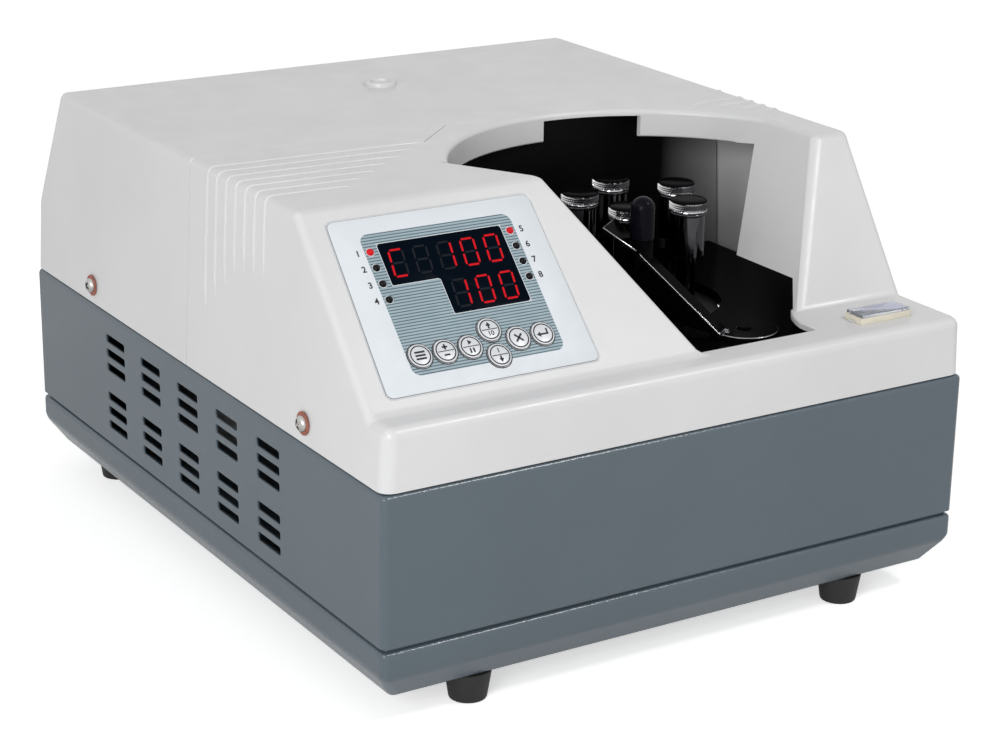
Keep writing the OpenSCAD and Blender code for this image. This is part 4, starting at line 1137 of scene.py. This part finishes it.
def dressed(node, name, made, edge, above=0.0, shape=None, rim=None):
    # merged copy of a CAD node with broken edges; rim is a painted highlight material laid on the rounded long
    # edges and the foot
    bm = bmesh.new()
    bm.from_mesh(nodes[node].data)
    bmesh.ops.remove_doubles(bm, verts=bm.verts, dist=0.002 * mm)
    if shape:
        shape(bm)
    bmesh.ops.dissolve_limit(bm, angle_limit=radians(1), verts=bm.verts, edges=bm.edges)
    layer = bm.edges.layers.float.new("bevel_weight_edge")
    for e in bm.edges:
        heights = [v.co.z for v in e.verts]
        if len(e.link_faces) == 2 and e.calc_face_angle() > radians(35) and min(heights) > above:
            bold = max(heights) < deckTop + holder["footEdge"] or e.calc_length() > holder["longEdge"]
            e[layer] = 1 if bold or not rim else 0
    obj = piece(bm, name, nodes[node]["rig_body"], [made, rim] if rim else [made], [node], 35)
    soften(obj, edge, 2).modifiers["softEdges"].material = 1 if rim else -1


def holderShape(bm):
    # top flange a little wider and longer towards its upper end
    foot, post, along = middle("holder_shaft") + holder["foot"], middle("clamp_post"), holder["along"]
    across = Vector((-along.y, along.x, 0))
    for v in bm.verts:
        out, off = (v.co - foot).dot(along), (v.co - foot).dot(across)
        if (v.co - post).xy.length < holder["postClear"]:
            continue
        if off > holder["flange"]:
            v.co += across * holder["spread"] * max(0, out) / holder["length"]
        if out > holder["length"] - 0.5 * mm:
            v.co += along * holder["longer"] + Vector((0, 0, holder["rise"] * holder["longer"] / holder["length"]))


def deckShape(bm):
    # short rim turned down round the head's hole
    axis, thick = middle("rotor"), 1.2 * mm
    hole = min((v.co - axis).xy.length for v in bm.verts if v.co.z > deckTop - 1 * mm)
    rim = ring(hole, hole + thick, deckTop - 6 * mm, deckTop - 1 * mm, 96)
    addTo(bm, shifted(rim, axis.x, axis.y))


def rotorShape(bm):
    # rim of the disc out to just inside the deck's hole
    low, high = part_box("rotor")
    axis, rim, wider = (low + high) / 2, (high.x - low.x) / 2, 3.4 * mm
    for v in bm.verts:
        arm = (v.co - axis).xy
        if arm.length > rim - 0.5 * mm:
            v.co.xy = axis.xy + arm * (rim + wider) / arm.length


def pocket():
    underDeck = 150 * mm
    dressed("deck_plate", "deckPlate", blackGloss, 0.4 * mm, underDeck, deckShape)
    # the chamber wall carries the painted shadow and painted light
    dressed("bulkhead", "chamberWall", chamberShadeAndLight, 0.4 * mm)
    # the holder's long edges and foot carry the painted highlight
    dressed("holder_plate", "holderPlate", blackGloss, 0.4 * mm, shape=holderShape, rim=paintedEdgeHighlight)
    dressed("rotor", "rotorDisc", darkSteel, 0.6 * mm, underDeck, rotorShape)


postProfile = [(0, 7), (1.4, 6.86), (2.7, 6.46), (3.9, 5.81), (4.95, 4.95), (5.81, 3.9), (6.46, 2.7), (6.86, 1.4),
               (7, 0), (7, -17.1), (6.6, -17.5), (0, -17.5)]


def clampPost():
    spot, top = middle("clamp_post"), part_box("clamp_post")[1].z
    bm = shifted(lathe(inMm(postProfile), 48), spot.x, spot.y, top - postProfile[0][1] * mm)
    piece(bm, "clampPost", "holder", [softRubber], ["clamp_post"])


knurl = {
    "radius": 11.25 * mm, "depth": 0.85 * mm, "low": 0.9 * mm, "high": 5.6 * mm, "teeth": 48, "rows": 2,
    "blackBands": 6,
    "cap": [(0, 7), (6, 6.94), (9.3, 6.75), (10.3, 6.4), (10.8, 5.95), (11, 5.6), (10.4, 5.55), (10.4, 0.95),
            (11, 0.85), (11.1, 0.5), (10.8, 0), (6.05, 0), (6.05, 4.2), (0, 4.2)]}


def knurledBand():
    low, high, rows, radius = (knurl[k] for k in ("low", "high", "rows", "radius"))
    band = drum(0, 0, low, high, radius, 2 * knurl["teeth"])
    upright = [e for e in band.edges if abs(e.verts[0].co.z - e.verts[1].co.z) > 1 * mm]
    bmesh.ops.subdivide_edges(band, edges=upright, cuts=2 * rows - 1)
    for v in band.verts:
        row = round((v.co.z - low) / (high - low) * 2 * rows)
        column = round(atan2(v.co.y, v.co.x) / (pi / knurl["teeth"]))
        sunk = knurl["depth"] if row in (0, 2 * rows) or (row + column) % 2 else 0
        v.co.xy = v.co.xy * (1 - sunk / radius)
    bmesh.ops.triangulate(band, faces=band.faces, quad_method="SHORT_EDGE")
    for face in band.faces:  # painted shade: one flank of each tooth gets the near black chrome, as if turned away from the light
        spot = face.calc_center_median()
        face.material_index = 2 if face.normal.y * spot.x - face.normal.x * spot.y < 0 else 0
    return band


def knurledCap(i):
    node = "cap_%d" % i
    solid = lathe(inMm(knurl["cap"]), 72, True)
    for face in solid.faces:
        face.material_index = int(face.material_index < knurl["blackBands"])
    spot = middle(node)
    bm = shifted(gather([solid, knurledBand()]), spot.x, spot.y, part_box(node)[0].z)
    piece(bm, "cap%d" % i, "spindle_unit_%d" % i, [knurlSteel, blackGloss, paintedShadeChrome], [node], 18)


def head():
    underSpindle = 151 * mm
    for i in range(1, 6):
        # painted reflection: the spindles get the near black chrome, standing for the dark pocket they reflect
        dressed("spindle_%d" % i, "spindle%d" % i, paintedShadeChrome, 0.5 * mm, underSpindle)
        knurledCap(i)


pocket()
clampPost()
head()
print("pocket and head made")


# mains inlet, and the finish of the pieces inside

def rear():
    for node, name, edge in (("power_inlet", "mainsInlet", 0.5), ("power_switch", "mainsSwitch", 0.4),
                             ("power_rocker", "mainsRocker", 0.5)):
        dressed(node, name, blackPlastic, edge * mm)


finishes = {
    "foot_screws": steel, "display_module": blackPlastic, "keypad_board": boardGreen, "start_switch": blackPlastic,
    "holder_shaft": blackGloss, "sun_column": steel, "rotor_pulley": castGrey, "drive_belt": rubber,
    "drive_motor": castGrey, "motor_shaft": steel, "motor_pulley": castGrey, "frame_plate": steel,
    "frame_posts": steel, "vacuum_union": brass, "vacuum_hose": rubber, "vacuum_pump": castGrey,
    "inlet_filter": clearLens, "main_board": boardGreen, "transformer": darkSteel}


def finish():
    for node, made in finishes.items():
        for spot in nodes[node].material_slots:
            spot.material = made


rear()
finish()
print("inside finished")


# camera, light and floor

view = {"azimuth": -32.0524, "elevation": 19.1809, "roll": 0.8672, "distance": 1.5315, "right": 0.01733,
        "up": 0.04571, "centre": (0, 0, 0.05), "lens": 89.214}


def photoCamera():
    a, e, r = (radians(view[k]) for k in ("azimuth", "elevation", "roll"))
    back = Vector((sin(a) * cos(e), -cos(a) * cos(e), sin(e)))
    level = Vector((cos(a), sin(a), 0))
    upright = back.cross(level)
    right = cos(r) * level + sin(r) * upright
    up = cos(r) * upright - sin(r) * level
    spot = Vector(view["centre"]) + back * view["distance"] + right * view["right"] + up * view["up"]
    camera = link("camera", bpy.data.cameras.new("camera"))
    camera.data.lens = view["lens"]
    camera.data.sensor_width = 36
    camera.matrix_world = Matrix.Translation(spot) @ Matrix((right, up, back)).transposed().to_4x4()
    scene.camera = camera


# each lamp's place, size in metres and power
studio = {
    "lamps": {"key": ((-1.75, -1.5, 0.9), 1.0, 25), "left": ((-1.7, -0.2, 1.4), 0.3, 1.5),
              "above": ((0.85, -1.1, 1.55), 0.2, 8)},
    "aim": (0, 0, 0.13), "world": 0.41, "floor": 0.9, "floorSize": 4, "lift": 0.56, "mirrored": 0.3}


def lamps():
    for name, (spot, size, power) in studio["lamps"].items():
        lamp = bpy.data.lights.new(name, "AREA")
        lamp.size = size
        lamp.energy = power
        turn = (Vector(spot) - Vector(studio["aim"])).to_track_quat("Z", "Y")
        link(name, lamp).matrix_world = Matrix.Translation(spot) @ turn.to_matrix().to_4x4()


def seenStrength(tree, low, high, mirrored=1):
    # high to the camera and through glass, a share of that in reflections, low as a light
    path = tree.nodes.new("ShaderNodeLightPath")
    share = tree.nodes.new("ShaderNodeMath")
    share.operation = "MULTIPLY"
    share.inputs[1].default_value = mirrored
    tree.links.new(path.outputs["Is Glossy Ray"], share.inputs[0])
    seen = path.outputs["Is Camera Ray"]
    for ray in (share.outputs[0], path.outputs["Is Transmission Ray"]):
        larger = tree.nodes.new("ShaderNodeMath")
        larger.operation = "MAXIMUM"
        tree.links.new(seen, larger.inputs[0])
        tree.links.new(ray, larger.inputs[1])
        seen = larger.outputs[0]
    return spreadOver(tree, seen, (0, 1), low, high)


def backdrop():
    scene.world = bpy.data.worlds.new("studio")
    scene.world.use_nodes = True
    tree = scene.world.node_tree
    background = tree.nodes["Background"].inputs
    background["Color"].default_value = (1, 1, 1, 1)
    tree.links.new(seenStrength(tree, studio["world"], 1), background["Strength"])
    bm = bmesh.new()
    bmesh.ops.create_grid(bm, x_segments=1, y_segments=1, size=studio["floorSize"])
    floor = link("floor", toMesh(bm, "floor"))
    pale = material("paleFloor", (studio["floor"],) * 3, 0.9)
    tree, inputs = pale.node_tree, shader(pale).inputs
    inputs["Emission Color"].default_value = (1, 1, 1, 1)
    lift = seenStrength(tree, 0, studio["lift"], studio["mirrored"])
    tree.links.new(lift, inputs["Emission Strength"])
    floor.data.materials.append(pale)


photoCamera()
lamps()
backdrop()
print("camera and light set")
